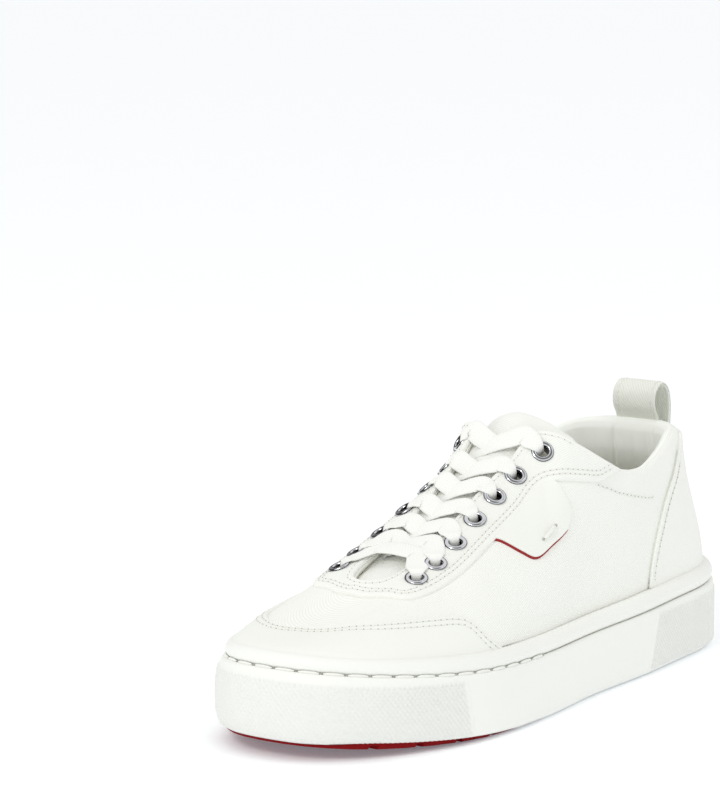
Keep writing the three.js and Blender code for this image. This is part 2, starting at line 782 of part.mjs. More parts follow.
function makeStrip(start, end) {
  const sectionOf = (edges) => {
    const top = edges.map(({ point, up }) => point.clone().addScaledVector(up, laceThickness));
    return [edges[0].point, edges[1].point, top[1], top[0]];
  };
  const crossing = [];
  for (let step = 1; step < laceSteps; step += 1) {
    const share = step / laceSteps;
    const rise = laceHump * Math.sin(Math.PI * share);
    crossing.push(start[1].map((from, edge) => {
      const to = end[1][edge];
      const up = from.up.clone().lerp(to.up, share).normalize();
      return { point: from.point.clone().lerp(to.point, share).addScaledVector(up, rise), up };
    }));
  }
  return toManifold(loft([...start, ...crossing, end[1], end[0]].map(sectionOf), false));
}

function makeLaces() {
  let laces = makeStrip(laceEnd(0, 1), laceEnd(0, -1));
  for (let index = 1; index < eyeletsPerSide; index += 1) {
    laces = laces.add(makeStrip(laceEnd(index, 1), laceEnd(index - 1, -1)));
    laces = laces.add(makeStrip(laceEnd(index - 1, 1), laceEnd(index, -1)));
  }
  return fromManifold(laces);
}

// Pull loop: a folded strap from the back of the heel over the collar and in again

const loopColumns = 5;
const loopSteps = 12;
const loopGap = 0.8;

// the point of a skin near the heel's middle that lies at a given y
function skinAtSide(y, height, offsetAt) {
  const pointAt = (turn) => skinOffset(turn, height, offsetAt(turn));
  let [low, high] = [0, 0.1];
  for (let round = 0; round < 24; round += 1) {
    const middle = (low + high) / 2;
    if (pointAt(middle).y < Math.abs(y)) low = middle;
    else high = middle;
  }
  return pointAt(low).setY(y);
}

function loopPath(y) {
  const stand = loopGap + loopStrap / 2;
  const rear = [0.76, 0.82, 0.88, 0.94].map((height) => skinAtSide(y, height, () => overlayOuter + stand));
  const front = [0.97, 0.92, 0.87].map((height) => skinAtSide(y, height, (turn) => -wallAt(turn, height) - stand));
  const top = collarHeight + loopHeight;
  const back = rear[rear.length - 1].x;
  const inner = front[0].x;
  const arch = [
    new THREE.Vector3(back - 0.4, y, mix(collarHeight, top, 0.3)),
    new THREE.Vector3(mix(back, inner, 0.12), y, mix(collarHeight, top, 0.78)),
    new THREE.Vector3(mix(back, inner, 0.5), y, top - loopStrap / 2),
    new THREE.Vector3(mix(back, inner, 0.88), y, mix(collarHeight, top, 0.78)),
    new THREE.Vector3(inner + 0.4, y, mix(collarHeight, top, 0.3)),
  ];
  return new THREE.CatmullRomCurve3([...rear, ...arch, ...front]);
}

function makePullLoop() {
  const paths = Array.from({ length: loopColumns }, (_, column) =>
    loopPath(loopWidth * (column / (loopColumns - 1) - 0.5)));
  const across = new THREE.Vector3(0, 1, 0);
  const sections = [];
  for (let step = 0; step <= loopSteps; step += 1) {
    const share = step / loopSteps;
    const face = (side) => paths.map((path) => {
      const out = new THREE.Vector3().crossVectors(across, path.getTangentAt(share)).normalize();
      return path.getPointAt(share).addScaledVector(out, side * loopStrap / 2);
    });
    sections.push([...face(-1), ...face(1).reverse()]);
  }
  return loft(sections, false);
}

// Finishes and assembly

const finish = (color, roughness, metalness = 0) => new THREE.MeshStandardMaterial({ color, roughness, metalness });

const shoe = new THREE.Group();

function addPiece(name, geometry, look) {
  const piece = new THREE.Mesh(geometry, look);
  piece.name = name;
  shoe.add(piece);
}

addPiece('outsole', makeOutsole(), finish(0xb3202a, 0.55));
addPiece('midsole', makeMidsole(), finish(0xf1f1ed, 0.6));
addPiece('welt', makeWelt(), finish(0xf4f4f0, 0.6));
addPiece('insole', makeInsole(), finish(0xcfc4a8, 0.9));
addPiece('upper', makeUpper(), finish(0xf3f3ee, 0.95));
addPiece('toe_cap', makeToeCap(), finish(0xf6f7f2, 0.5));
addPiece('eyestay', makeEyestay(), finish(0xf4f4ef, 0.95));
addPiece('heel_panel', makeHeelPanel(), finish(0xf0f0eb, 0.95));
addPiece('tongue', makeTongue(), finish(0xf4f4ef, 0.95));
addPiece('tongue_patch', makePatch(), finish(0xeef0ea, 0.5));
addPiece('side_tab', makeTab(), finish(0xf1f3ee, 0.45));
addPiece('pull_loop', makePullLoop(), finish(0xe9eae4, 0.9));
addPiece('laces', makeLaces(), finish(0xf6f6f2, 0.9));
eyeletPlaces().forEach((place) => {
  addPiece(place.name, makeEyelet(place, eyeletSeat), finish(0xb9bcc0, 0.18, 1));
});
ventPlaces.forEach((place) => {
  addPiece(place.name, makeEyelet(place, ventSeat), finish(0xb9bcc0, 0.18, 1));
});

const footprint = new THREE.Box3().setFromObject(shoe);
const middle = footprint.getCenter(new THREE.Vector3());
shoe.position.set(-middle.x, -middle.y, -footprint.min.z);

export default shoe;
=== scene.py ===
"""Low canvas sneaker, the left shoe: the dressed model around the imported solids."""

import math

import bpy
import numpy as np
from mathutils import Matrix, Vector


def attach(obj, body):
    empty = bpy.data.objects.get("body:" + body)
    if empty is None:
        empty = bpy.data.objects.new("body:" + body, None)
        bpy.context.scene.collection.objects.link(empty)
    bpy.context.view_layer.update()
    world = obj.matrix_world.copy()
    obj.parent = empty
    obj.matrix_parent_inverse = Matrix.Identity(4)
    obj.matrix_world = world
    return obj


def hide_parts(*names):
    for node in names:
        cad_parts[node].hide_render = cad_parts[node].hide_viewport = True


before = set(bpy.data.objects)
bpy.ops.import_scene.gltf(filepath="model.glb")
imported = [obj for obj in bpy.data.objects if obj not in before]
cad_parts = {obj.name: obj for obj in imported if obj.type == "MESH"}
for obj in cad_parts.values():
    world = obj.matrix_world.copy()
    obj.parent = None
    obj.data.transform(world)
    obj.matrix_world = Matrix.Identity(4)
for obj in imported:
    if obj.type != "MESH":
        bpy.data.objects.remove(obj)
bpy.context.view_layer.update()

bl_info = {
    "name": "Canvas sneaker",
    "version": (1, 0, 0),
    "blender": (4, 5, 0),
    "location": "View3D > Sidebar > Sneaker",
    "description": "Builds the pieces, finishes and stage of a low canvas sneaker",
    "category": "Add Mesh",
}

# Shapes are worked out in millimetres from the back of the heel, on the shoe's own
# axis, and are moved to the frame when a mesh is made.
MILLIMETRE = 0.001
FOOTPRINT_MIDDLE = np.array([150.0, 1.523, 0.0])

# Sizes that the shoe's solids have too
SOLE_LENGTH = 300.0
BALL_WIDTH = 106.0
HEEL_WIDTH = 76.0
TOE_ROUND_LENGTH = 79.0
HEEL_ROUND_LENGTH = 45.0
TOE_ROUNDNESS = 2.3
HEEL_ROUNDNESS = 2.2
SIDEWALL_HEEL = 28.5
SIDEWALL_WAIST = 26.4
SIDEWALL_TOE = 28.5
TOE_SPRING = 6.7
HEEL_SPRING = 1.0
SIDEWALL_LIFT = 2.6
SIDEWALL_THICKNESS = 6.1
FOOTBED_HEEL = 21.5
FOOTBED_BALL = 16.0
WELT_HEEL = 7.6
WELT_TOE = 3.8
UPPER_WALL = 2.0
COLLAR_HEIGHT = 99.0
INSTEP_HEIGHT = 110.0
HALF_COLLAR = 34.0
HALF_THROAT = 10.2
COLLAR_PAD = 6.5
HALF_TONGUE = 25.0
TONGUE_THICKNESS = 3.0
TONGUE_PADDING = 2.0
EYELETS_PER_SIDE = 7
LOWEST_EYELET = 0.3875
HIGHEST_EYELET = 0.26
LOOP_WIDTH = 22.0
LOOP_STRAP = 1.6
LOOP_HEIGHT = 16.0
SEAT_GAP = 0.3


# Tables

class Table:
    """Reads rows of named values anywhere between them, on a smooth curve."""

    def __init__(self, names, rows, closed=False):
        self.names = names.split()
        rows = np.array(rows, float)
        before = rows[-2] - np.eye(rows.shape[1])[0] if closed else rows[0]
        after = rows[1] + np.eye(rows.shape[1])[0] if closed else rows[-1]
        padded = np.vstack([before, rows, after])
        self.at = padded[:, 0]
        self.values = padded[:, 1:]
        run = (self.at[2:] - self.at[:-2])[:, None]
        self.slopes = (self.values[2:] - self.values[:-2]) / run
        self.last = len(rows) - 1

    def __call__(self, at):
        at = np.asarray(at, float)
        low = np.clip(np.searchsorted(self.at[2:self.last + 1], at) + 1, 1, self.last)
        run = self.at[low + 1] - self.at[low]
        share = np.clip((at - self.at[low]) / run, 0, 1)[..., None]
        square = share * share
        cube = square * share
        run = run[..., None]
        read = (
            (2 * cube - 3 * square + 1) * self.values[low]
            + (cube - 2 * square + share) * run * self.slopes[low - 1]
            + (3 * square - 2 * cube) * self.values[low + 1]
            + (cube - square) * run * self.slopes[low]
        )
        columns = [read[..., index] for index in range(len(self.names))]
        return columns[0] if len(columns) == 1 else columns


def smooth_step(low, high, value):
    share = np.clip((value - low) / (high - low), 0, 1)
    return share * share * (3 - 2 * share)


def mix(low, high, share):
    return low + (high - low) * share


def unit(vectors):
    return vectors / np.maximum(np.linalg.norm(vectors, axis=-1, keepdims=True), 1e-9)


# Outline of the sole from above. A turn of 0 is the middle of the heel and 0.5 the
# tip of the toe, the outer side first.

SOLE_WIDTHS = Table("lateral medial drift", [
    (0.0, 0.49 * HEEL_WIDTH, 0.49 * HEEL_WIDTH, 0.0),
    (0.12, 0.5 * HEEL_WIDTH, 0.5 * HEEL_WIDTH, 0.0),
    (0.3, 0.42 * BALL_WIDTH, 0.395 * BALL_WIDTH, 0.0),
    (0.45, 0.45 * BALL_WIDTH, 0.362 * BALL_WIDTH, 0.0),
    (0.6, 0.511 * BALL_WIDTH, 0.44 * BALL_WIDTH, 0.0),
    (0.72, 0.533 * BALL_WIDTH, 0.502 * BALL_WIDTH, 0.0),
    (0.86, 0.49 * BALL_WIDTH, 0.47 * BALL_WIDTH, 0.0),
    (1.0, 0.49 * BALL_WIDTH, 0.44 * BALL_WIDTH, -0.01 * BALL_WIDTH),
])


def outline(turn):
    angle = 2 * np.pi * np.asarray(turn, float)
    share = (1 - np.cos(angle)) / 2
    lateral, medial, drift = SOLE_WIDTHS(share)
    x = SOLE_LENGTH * share
    into_heel = np.clip((HEEL_ROUND_LENGTH - x) / HEEL_ROUND_LENGTH, 0, 1)
    into_toe = np.clip((x - SOLE_LENGTH + TOE_ROUND_LENGTH) / TOE_ROUND_LENGTH, 0, 1)
    heel = (1 - into_heel ** HEEL_ROUNDNESS) ** (1 / HEEL_ROUNDNESS)
    toe = (1 - into_toe ** TOE_ROUNDNESS) ** (1 / TOE_ROUNDNESS)
    half = np.where(np.sin(angle) >= 0, lateral, -medial)
    return np.stack([x, half * heel * toe + drift], -1)


def outline_inset(turn, inset):
    nudge = 1 / 720
    turn = np.asarray(turn, float)
    along = unit(outline(turn + nudge) - outline(turn - nudge))
    inward = np.stack([along[..., 1], -along[..., 0]], -1)
    return outline(turn) + inward * np.asarray(inset)[..., None]


def ground_lift(x):
    share = x / SOLE_LENGTH
    toe = np.clip((share - 0.66) / 0.34, 0, 1)
    heel = np.clip((0.1 - share) / 0.1, 0, 1)
    return TOE_SPRING * toe ** 2 + HEEL_SPRING * heel ** 2


def sidewall_top(x):
    share = np.clip(x / SOLE_LENGTH, 0, 1)
    rear = mix(SIDEWALL_HEEL, SIDEWALL_WAIST, smooth_step(0, 0.5, share))
    front = mix(SIDEWALL_WAIST, SIDEWALL_TOE, smooth_step(0.5, 1, share))
    return np.where(share < 0.5, rear, front) + ground_lift(x)


def welt_top(x):
    return sidewall_top(x) + SEAT_GAP + mix(WELT_HEEL, WELT_TOE, smooth_step(0.2, 1, x / SOLE_LENGTH))


def footbed(x):
    return ground_lift(x) + mix(FOOTBED_HEEL, FOOTBED_BALL, smooth_step(0.2, 0.7, x / SOLE_LENGTH))


def toe_share(x):
    """How far into the toe's own shape a place is, from 0 to 1."""
    return smooth_step(0.8, 0.97, x / SOLE_LENGTH)


def raised(place, z):
    """Points with the given heights over places seen from above."""
    return np.concatenate([place, z[..., None]], -1)


def sole_middle(turn, shortest, longest):
    """The nearest places on the shoe's axis, between two distances from the heel."""
    middle = outline(turn) * [1, 0]
    middle[:, 0] = np.clip(middle[:, 0], shortest, longest)
    return middle


# Upper. Each column runs from the welt to the top line on one Bezier curve.

TOP_ROWS = [
    # at, x, y, z, rise, lean, spread, dip
    (0.0, 0.083, 0.0, COLLAR_HEIGHT, 0.3, 0.03, 0.02, 0.38),
    (0.047, 0.091, 0.38 * HALF_COLLAR, COLLAR_HEIGHT, 0.3, 0.03, 0.02, 0.38),
    (0.094, 0.122, 0.7 * HALF_COLLAR, 0.995 * COLLAR_HEIGHT, 0.3, 0.02, 0.04, 0.36),
    (0.125, 0.163, 0.86 * HALF_COLLAR, 0.98 * COLLAR_HEIGHT, 0.32, 0.0, 0.06, 0.34),
    (0.156, 0.213, 0.96 * HALF_COLLAR, 0.924 * COLLAR_HEIGHT, 0.34, -0.03, 0.1, 0.32),
    (0.18, 0.263, HALF_COLLAR, 0.876 * COLLAR_HEIGHT, 0.34, -0.04, 0.14, 0.3),
    (0.205, 0.32, HALF_COLLAR, 0.892 * COLLAR_HEIGHT, 0.34, -0.02, 0.2, 0.3),
    (0.22, 0.36, 0.94 * HALF_COLLAR, 0.855 * INSTEP_HEIGHT, 0.32, 0.0, 0.26, 0.28),
    (0.235, 0.4, 0.84 * HALF_COLLAR, 0.918 * INSTEP_HEIGHT, 0.3, 0.03, 0.31, 0.26),
    (0.25, 0.43, 0.66 * HALF_COLLAR, 0.972 * INSTEP_HEIGHT, 0.27, 0.06, 0.34, 0.24),
    (0.264, 0.448, 1.4 * HALF_THROAT, 0.972 * INSTEP_HEIGHT, 0.25, 0.08, 0.36, 0.23),
    (0.281, 0.488, 1.17 * HALF_THROAT, 0.888 * INSTEP_HEIGHT, 0.23, 0.1, 0.37, 0.22),
    (0.3125, 0.55, HALF_THROAT, 0.79 * INSTEP_HEIGHT, 0.23, 0.1, 0.37, 0.22),
    (0.344, 0.61, 0.95 * HALF_THROAT, 0.694 * INSTEP_HEIGHT, 0.24, 0.1, 0.37, 0.22),
    (0.375, 0.663, 0.97 * HALF_THROAT, 0.623 * INSTEP_HEIGHT, 0.26, 0.1, 0.38, 0.23),
    (0.406, 0.707, HALF_THROAT, 0.579 * INSTEP_HEIGHT, 0.28, 0.09, 0.38, 0.31),
    (0.4375, 0.74, 0.93 * HALF_THROAT, 0.551 * INSTEP_HEIGHT, 0.3, 0.07, 0.37, 0.48),
    (0.469, 0.765, 0.6 * HALF_THROAT, 0.535 * INSTEP_HEIGHT, 0.32, 0.05, 0.355, 0.74),
    (0.5, 0.772, 0.0, 0.53 * INSTEP_HEIGHT, 0.34, 0.04, 0.345, 0.86),
]
MEDIAL_ROWS = [(1 - row[0], row[1], -row[2], *row[3:]) for row in TOP_ROWS[-2::-1]]
TOP_LINE = Table("x y z rise lean spread dip", TOP_ROWS + MEDIAL_ROWS, closed=True)
UPPER_INSET = SIDEWALL_THICKNESS + SEAT_GAP
TOE_DRAWN_IN = 3.2

# Soft dents and swells in the cloth: turn, height, reach along, reach up, depth
CLOTH_WAVES = [
    (0.235, 0.42, 0.03, 0.16, -0.9),
    (0.27, 0.25, 0.035, 0.14, 0.5),
    (0.31, 0.42, 0.018, 0.12, -0.6),
    (0.2, 0.62, 0.022, 0.13, -0.5),
    (0.155, 0.35, 0.02, 0.25, 0.4),
    (0.36, 0.47, 0.012, 0.05, -0.45),
    (0.44, 0.68, 0.03, 0.05, -0.4),
    (0.56, 0.66, 0.03, 0.05, -0.4),
    (0.65, 0.44, 0.02, 0.1, -0.5),
    (0.735, 0.4, 0.03, 0.18, -0.8),
    (0.8, 0.55, 0.025, 0.16, -0.6),
    (0.85, 0.35, 0.02, 0.22, 0.4),
]


def bare_skin(turn, height):
    turn = np.mod(np.asarray(turn, float), 1)
    x, y, z, rise, lean, spread, dip = TOP_LINE(turn)
    foot = outline_inset(turn, UPPER_INSET + TOE_DRAWN_IN * smooth_step(0.8, 0.97, x))
    drift = SOLE_WIDTHS(np.clip(x, 0, 1))[2]
    start = raised(foot, welt_top(foot[..., 0]))
    end = np.stack([x * SOLE_LENGTH, y + drift, z], -1)
    reach = end - start
    lower = start + reach * np.stack([lean, lean, rise], -1)
    upper = end - reach * np.stack([spread, spread, dip], -1)
    share = np.clip(height, 0, 1)[..., None]
    rest = 1 - share
    above = rest ** 3 * start + 3 * rest ** 2 * share * lower
    above = above + 3 * rest * share ** 2 * upper + share ** 3 * end
    below = start.copy()
    below[..., 2] = mix(start[..., 2], footbed(foot[..., 0]) + SEAT_GAP, -np.asarray(height))
    return np.where(np.asarray(height)[..., None] < 0, below, above)


def skin_normal(turn, height):
    turn, height = np.broadcast_arrays(np.asarray(turn, float), np.asarray(height, float))
    nudge = 1 / 360
    along = bare_skin(turn + nudge, height) - bare_skin(turn - nudge, height)
    up = bare_skin(turn, np.minimum(height + 0.02, 1)) - bare_skin(turn, np.maximum(height - 0.02, -1))
    return unit(np.cross(up, along))


def cloth_wave(turn, height):
    whole = np.mod(turn, 1)
    swell = np.zeros(np.broadcast(turn, height).shape)
    for at, up, reach, rise, depth in CLOTH_WAVES:
        swell = swell + depth * np.exp(-((whole - at) / reach) ** 2 - ((height - up) / rise) ** 2)
    return swell


def skin(turn, height, offset=0.0):
    """Points a given way off the upper's outer face."""
    turn, height = np.broadcast_arrays(np.asarray(turn, float), np.asarray(height, float))
    lifted = np.asarray(offset) + cloth_wave(turn, height)
    lifted = np.broadcast_to(lifted, turn.shape)[..., None]
    return bare_skin(turn, height) + skin_normal(turn, height) * lifted


def wall_at(turn, height):
    from_heel = np.minimum(np.mod(turn, 1), 1 - np.mod(turn, 1))
    around = mix(0.35, 1, 1 - smooth_step(0.05, 0.16, from_heel)) * (1 - smooth_step(0.19, 0.235, from_heel))
    return UPPER_WALL + COLLAR_PAD * around * smooth_step(0.45, 0.86, height)


def land_on(targets, turn, height):
    """The turns and heights of the skin's points nearest to some points."""
    turn = np.array(turn, float)
    height = np.array(height, float)
    step = 1e-4
    for _ in range(8):
        here = bare_skin(turn, height)
        across = (bare_skin(turn + step, height) - bare_skin(turn - step, height)) / (2 * step)
        inside = np.clip(height, step, 1 - step)
        up = (bare_skin(turn, inside + step) - bare_skin(turn, inside - step)) / (2 * step)
        off = targets - here
        aa = (across * across).sum(-1)
        ab = (across * up).sum(-1)
        bb = (up * up).sum(-1)
        da = (across * off).sum(-1)
        db = (up * off).sum(-1)
        spread = np.maximum(aa * bb - ab * ab, 1e-9)
        turn = turn + np.clip((bb * da - ab * db) / spread, -0.01, 0.01)
        height = np.clip(height + np.clip((aa * db - ab * da) / spread, -0.1, 0.1), 0, 1)
    return turn, height


def both_sides(turn):
    whole = np.mod(turn, 1)
    return np.minimum(whole, 1 - whole)


# Seams on the upper, as heights over the turn

CAP_EDGE = Table("height", [
    (0.309, 0.0), (0.322, 0.13), (0.333, 0.26), (0.344, 0.335), (0.367, 0.385),
    (0.41, 0.45), (0.455, 0.515), (0.5, 0.54),
])
CAP_INNER_DROP = 0.08


def cap_edge(turn):
    """The toe cap's edge, which runs lower on the inner side."""
    drop = smooth_step(0.46, 0.56, turn) * (1 - smooth_step(0.6, 0.67, turn))
    return CAP_EDGE(both_sides(turn)) - CAP_INNER_DROP * drop


STAY_EDGE = Table("height", [
    (0.209, 0.99), (0.216, 0.895), (0.223, 0.82), (0.236, 0.763), (0.25, 0.72), (0.278, 0.68),
    (0.31, 0.645), (0.345, 0.59), (0.368, 0.57), (0.39, 0.6), (0.43, 0.765), (0.465, 0.86), (0.5, 0.895),
])
HEEL_EDGE = Table("height", [
    (0.1, 1.0), (0.129, 0.77), (0.1515, 0.6), (0.163, 0.4), (0.169, 0.2), (0.172, 0.0),
])
TAB_EDGES = Table("low high", [
    (0.2445, 0.53, 0.545), (0.2455, 0.5, 0.6), (0.248, 0.478, 0.645), (0.2545, 0.445, 0.715),
    (0.266, 0.415, 0.71), (0.274, 0.425, 0.7), (0.284, 0.492, 0.69), (0.302, 0.62, 0.68),
    (0.309, 0.66, 0.665),
])
TAB_SPAN = (0.2445, 0.309)
TAB_BAR = ((0.268, 0.474), (0.257, 0.508))
EYELET_ROW = Table("height", [
    (0.26, 0.862), (0.28, 0.868), (0.3, 0.864), (0.322, 0.843), (0.343, 0.808),
    (0.3655, 0.765), (0.3875, 0.745),
])
EYELET_STEP = (LOWEST_EYELET - HIGHEST_EYELET) / (EYELETS_PER_SIDE - 1)
VENTS = [("vent_front", 0.738, 0.24), ("vent_rear", 0.762, 0.26)]


def eyelet_place(index, side):
    turn = LOWEST_EYELET - index * EYELET_STEP
    height = float(EYELET_ROW(turn))
    return (turn if side > 0 else 1 - turn), height


# Meshes from grids

def frame_coords(points):
    return (np.asarray(points).reshape(-1, 3) - FOOTPRINT_MIDDLE) * MILLIMETRE


def grid_faces(rows, columns, wrap_rows, wrap_columns):
    """The faces of a grid of points, and the rows and columns of their corners."""
    last_row = rows if wrap_rows else rows - 1
    last_column = columns if wrap_columns else columns - 1
    row, column = np.meshgrid(np.arange(last_row), np.arange(last_column), indexing="ij")
    row, column = row.ravel(), column.ravel()
    corner_rows = np.stack([row, row, row + 1, row + 1], 1)
    corner_columns = np.stack([column, column + 1, column + 1, column], 1)
    return (corner_rows % rows) * columns + corner_columns % columns, corner_rows, corner_columns


def looped(grid, wrap_rows, wrap_columns):
    """A grid with its first row and column again at its far ends."""
    grid = np.concatenate([grid, grid[:, :1]], 1) if wrap_columns else grid
    return np.concatenate([grid, grid[:1]], 0) if wrap_rows else grid


def arc_lengths(points, axis):
    steps = np.linalg.norm(np.diff(points, axis=axis), axis=-1)
    start = np.zeros_like(np.take(steps, [0], axis=axis))
    return np.cumsum(np.concatenate([start, steps], axis=axis), axis=axis)


class MeshParts:
    """Vertices, faces, weave coordinates and finishes that are joined into one mesh."""

    def __init__(self):
        self.points, self.faces, self.weave, self.finish = [], [], [], []
        self.count = 0

    def add(self, points, faces, weave, finish=0):
        self.points.append(points)
        self.faces.append(faces + self.count)
        self.weave.append(weave)
        self.finish.append(np.full(len(faces), finish) if np.isscalar(finish) else finish)
        self.count += len(points)

    def build(self, name, finishes, smooth=True):
        points = frame_coords(np.concatenate(self.points))
        faces = np.concatenate(self.faces)
        weave = np.concatenate(self.weave)
        finish = np.concatenate(self.finish)
        return make_mesh(name, points, faces, weave, finish, finishes, smooth)


def make_mesh(name, points, faces, weave, finish, finishes, smooth):
    mesh = bpy.data.meshes.new(name)
    mesh.vertices.add(len(points))
    mesh.vertices.foreach_set("co", points.astype(np.float32).ravel())
    mesh.loops.add(faces.size)
    mesh.loops.foreach_set("vertex_index", faces.astype(np.int32).ravel())
    mesh.polygons.add(len(faces))
    mesh.polygons.foreach_set("loop_start", np.arange(len(faces), dtype=np.int32) * faces.shape[1])
    mesh.polygons.foreach_set("material_index", np.asarray(finish, np.int32))
    mesh.polygons.foreach_set("use_smooth", np.full(len(faces), smooth))
    layer = mesh.uv_layers.new(name="weave")
    layer.data.foreach_set("uv", weave.astype(np.float32).ravel())
    for material in finishes:
        mesh.materials.append(material)
    mesh.update(calc_edges=True)
    mesh.validate(clean_customdata=False)
    piece = bpy.data.objects.new(name, mesh)
    bpy.context.scene.collection.objects.link(piece)
    return piece


def turned_outward(points, faces, corners):
    """The faces of a body and their weave coordinates, with the outer side in front."""
    a, b, c, d = ((points - points.mean(0))[faces[:, corner]] for corner in range(4))
    inside_out = (np.cross(a, b) * c).sum() + (np.cross(a, c) * d).sum() < 0
    return (faces[:, ::-1], corners[:, ::-1]) if inside_out else (faces, corners)


def weave_over(grid, middle_row):
    """Cloth threads in millimetres: along one row of a grid and across its rows."""
    along = arc_lengths(grid[middle_row], 0)[None, :] * np.ones((grid.shape[0], 1))
    return np.stack([along, arc_lengths(grid, 0)], -1)


def grid_body(grid, wrap_rows):
    """The points, faces and weave coordinates of a grid whose rows run round a body."""
    faces, corner_rows, corner_columns = grid_faces(*grid.shape[:2], wrap_rows, True)
    wrapped = looped(grid, wrap_rows, True)
    weave = weave_over(wrapped, len(wrapped) // 2)
    return grid.reshape(-1, 3), faces, weave[corner_rows, corner_columns]


def add_shell(parts, outer, inner, wrap_columns=False, inner_finish=0, skip=None):
    """A closed body between two grids: rows go round it, and open ends are capped."""
    ring = np.concatenate([outer, inner[::-1]], 0)
    rows, columns = ring.shape[:2]
    faces, corner_rows, corner_columns = grid_faces(rows, columns, True, wrap_columns)
    weave = weave_over(looped(ring, True, wrap_columns), outer.shape[0] // 2)
    corners = weave[corner_rows, corner_columns]
    finishes = np.where(corner_rows[:, 0] >= outer.shape[0], inner_finish, 0)
    if not wrap_columns:
        steps = np.arange(outer.shape[0] - 1)
        for column, flip in ((0, False), (columns - 1, True)):
            cap = np.stack([steps, rows - 1 - steps, rows - 2 - steps, steps + 1], 1) * columns + column
            cap = cap[:, ::-1] if flip else cap
            faces = np.concatenate([faces, cap])
            corners = np.concatenate([corners, np.zeros((len(cap), 4, 2))])
            finishes = np.concatenate([finishes, np.zeros(len(cap), int)])
    points = ring.reshape(-1, 3)
    faces, corners = turned_outward(points, faces, corners)
    if skip is not None:
        keep = ~skip(points[faces].mean(1))
        faces, corners, finishes = faces[keep], corners[keep], finishes[keep]
    parts.add(points, faces, corners, finishes)


def add_tube(parts, sections):
    """A closed strip from sections along its length, each a ring of points."""
    ends = [sections[index].mean(0) * np.ones_like(sections[index]) for index in (0, -1)]
    sections = np.stack([ends[0], *sections, ends[1]])
    count, ring = sections.shape[:2]
    faces, corner_rows, corner_columns = grid_faces(count, ring, False, True)
    along = arc_lengths(sections.mean(1), 0)
    widest = sections[count // 2]
    around = np.linspace(0, 2 * np.linalg.norm(widest[0] - widest[ring // 2]), ring + 1)
    corners = np.stack([around[corner_columns], along[corner_rows]], -1)
    points = sections.reshape(-1, 3)
    parts.add(points, *turned_outward(points, faces, corners))


def ribbon_sections(centres, ups, widths, thicknesses, sides=12):
    """Flat rounded sections square to a path, for laces and straps."""
    centres, ups = np.asarray(centres, float), np.asarray(ups, float)
    along = unit(np.gradient(centres, axis=0))
    across = unit(np.cross(ups, along))
    ups = unit(np.cross(along, across))
    angle = np.arange(sides) * 2 * np.pi / sides
    flat = np.sign(np.cos(angle)) * np.abs(np.cos(angle)) ** 0.55
    tall = np.sign(np.sin(angle)) * np.abs(np.sin(angle)) ** 0.8
    widths = np.broadcast_to(widths, len(centres))[:, None, None]
    thicknesses = np.broadcast_to(thicknesses, len(centres))[:, None, None]
    offset = across[:, None] * flat[None, :, None] * widths / 2
    return centres[:, None] + offset + ups[:, None] * tall[None, :, None] * thicknesses / 2


def smooth_path(points, count):
    """Points evenly spread on a smooth curve through a few others."""
    points = np.asarray(points, float)
    at = np.concatenate([[0], np.cumsum(np.linalg.norm(np.diff(points[:, :3], axis=0), axis=1))])
    curve = Table(" ".join(f"c{index}" for index in range(points.shape[1])), np.column_stack([at, points]))
    return np.stack(curve(np.linspace(0, at[-1], count)), -1)


LINE_SAMPLES = 1600
LINE_BLOCK = 64


def read_along(at, length, values):
    """Reads points or directions at given lengths along a line."""
    return np.stack([np.interp(at, length, values[:, axis]) for axis in range(3)], -1)


def even_path(turns, heights, offset, pitch):
    """Places about one pitch apart along a line on the skin, with directions."""
    shares = np.linspace(0, 1, LINE_SAMPLES)
    dense_turn = np.interp(shares, np.linspace(0, 1, len(turns)), turns)
    dense_height = np.interp(shares, np.linspace(0, 1, len(heights)), heights)
    points = skin(dense_turn, dense_height, offset)
    length = arc_lengths(points, 0)
    count = max(int(length[-1] / pitch), 1)
    at = (np.arange(count) + 0.5) * length[-1] / count
    direction = unit(read_along(at, length, np.gradient(points, length, axis=0)))
    normal = skin_normal(np.interp(at, length, dense_turn), np.interp(at, length, dense_height))
    return read_along(at, length, points), direction, normal


def inner_line(turns, heights, inward, flip=1):
    """A line on the skin a given way to one side of another, both as turns and heights."""
    points = bare_skin(turns, heights)
    along = unit(np.gradient(points, axis=0))
    side = unit(np.cross(skin_normal(turns, heights), along)) * flip
    return land_on(points + side * inward, turns, heights)


STITCH_SIDES = 6
HOLE_RADIUS = 3.3
HOLE_REACH = 8.0


def add_stitches(parts, places, directions, normals, length, thickness, finish=0):
    """A row of short threads, each a small rounded body."""
    shares = np.array([-0.5, -0.44, -0.3, 0, 0.3, 0.44, 0.5])
    girths = np.array([0.02, 0.55, 0.9, 1, 0.9, 0.55, 0.02])
    angle = np.arange(STITCH_SIDES) * 2 * np.pi / STITCH_SIDES
    across = unit(np.cross(normals, directions))
    dip = (1 - (2 * shares) ** 2) * thickness * 0.35
    rings = []
    for share, girth, rise in zip(shares, girths, dip):
        centre = places + directions * share * length + normals * rise
        ring = across[:, None] * np.cos(angle)[None, :, None]
        ring = ring + normals[:, None] * np.sin(angle)[None, :, None]
        rings.append(centre[:, None] + ring * girth * thickness / 2)
    grid = np.stack(rings, 1)
    count, rows = grid.shape[:2]
    face = grid_faces(rows, STITCH_SIDES, False, True)[0]
    face = turned_outward(grid[0].reshape(-1, 3), face, face)[0]
    faces = (face[None] + (np.arange(count) * rows * STITCH_SIDES)[:, None, None]).reshape(-1, 4)
    parts.add(grid.reshape(-1, 3), faces, np.zeros((len(faces), 4, 2)), finish)


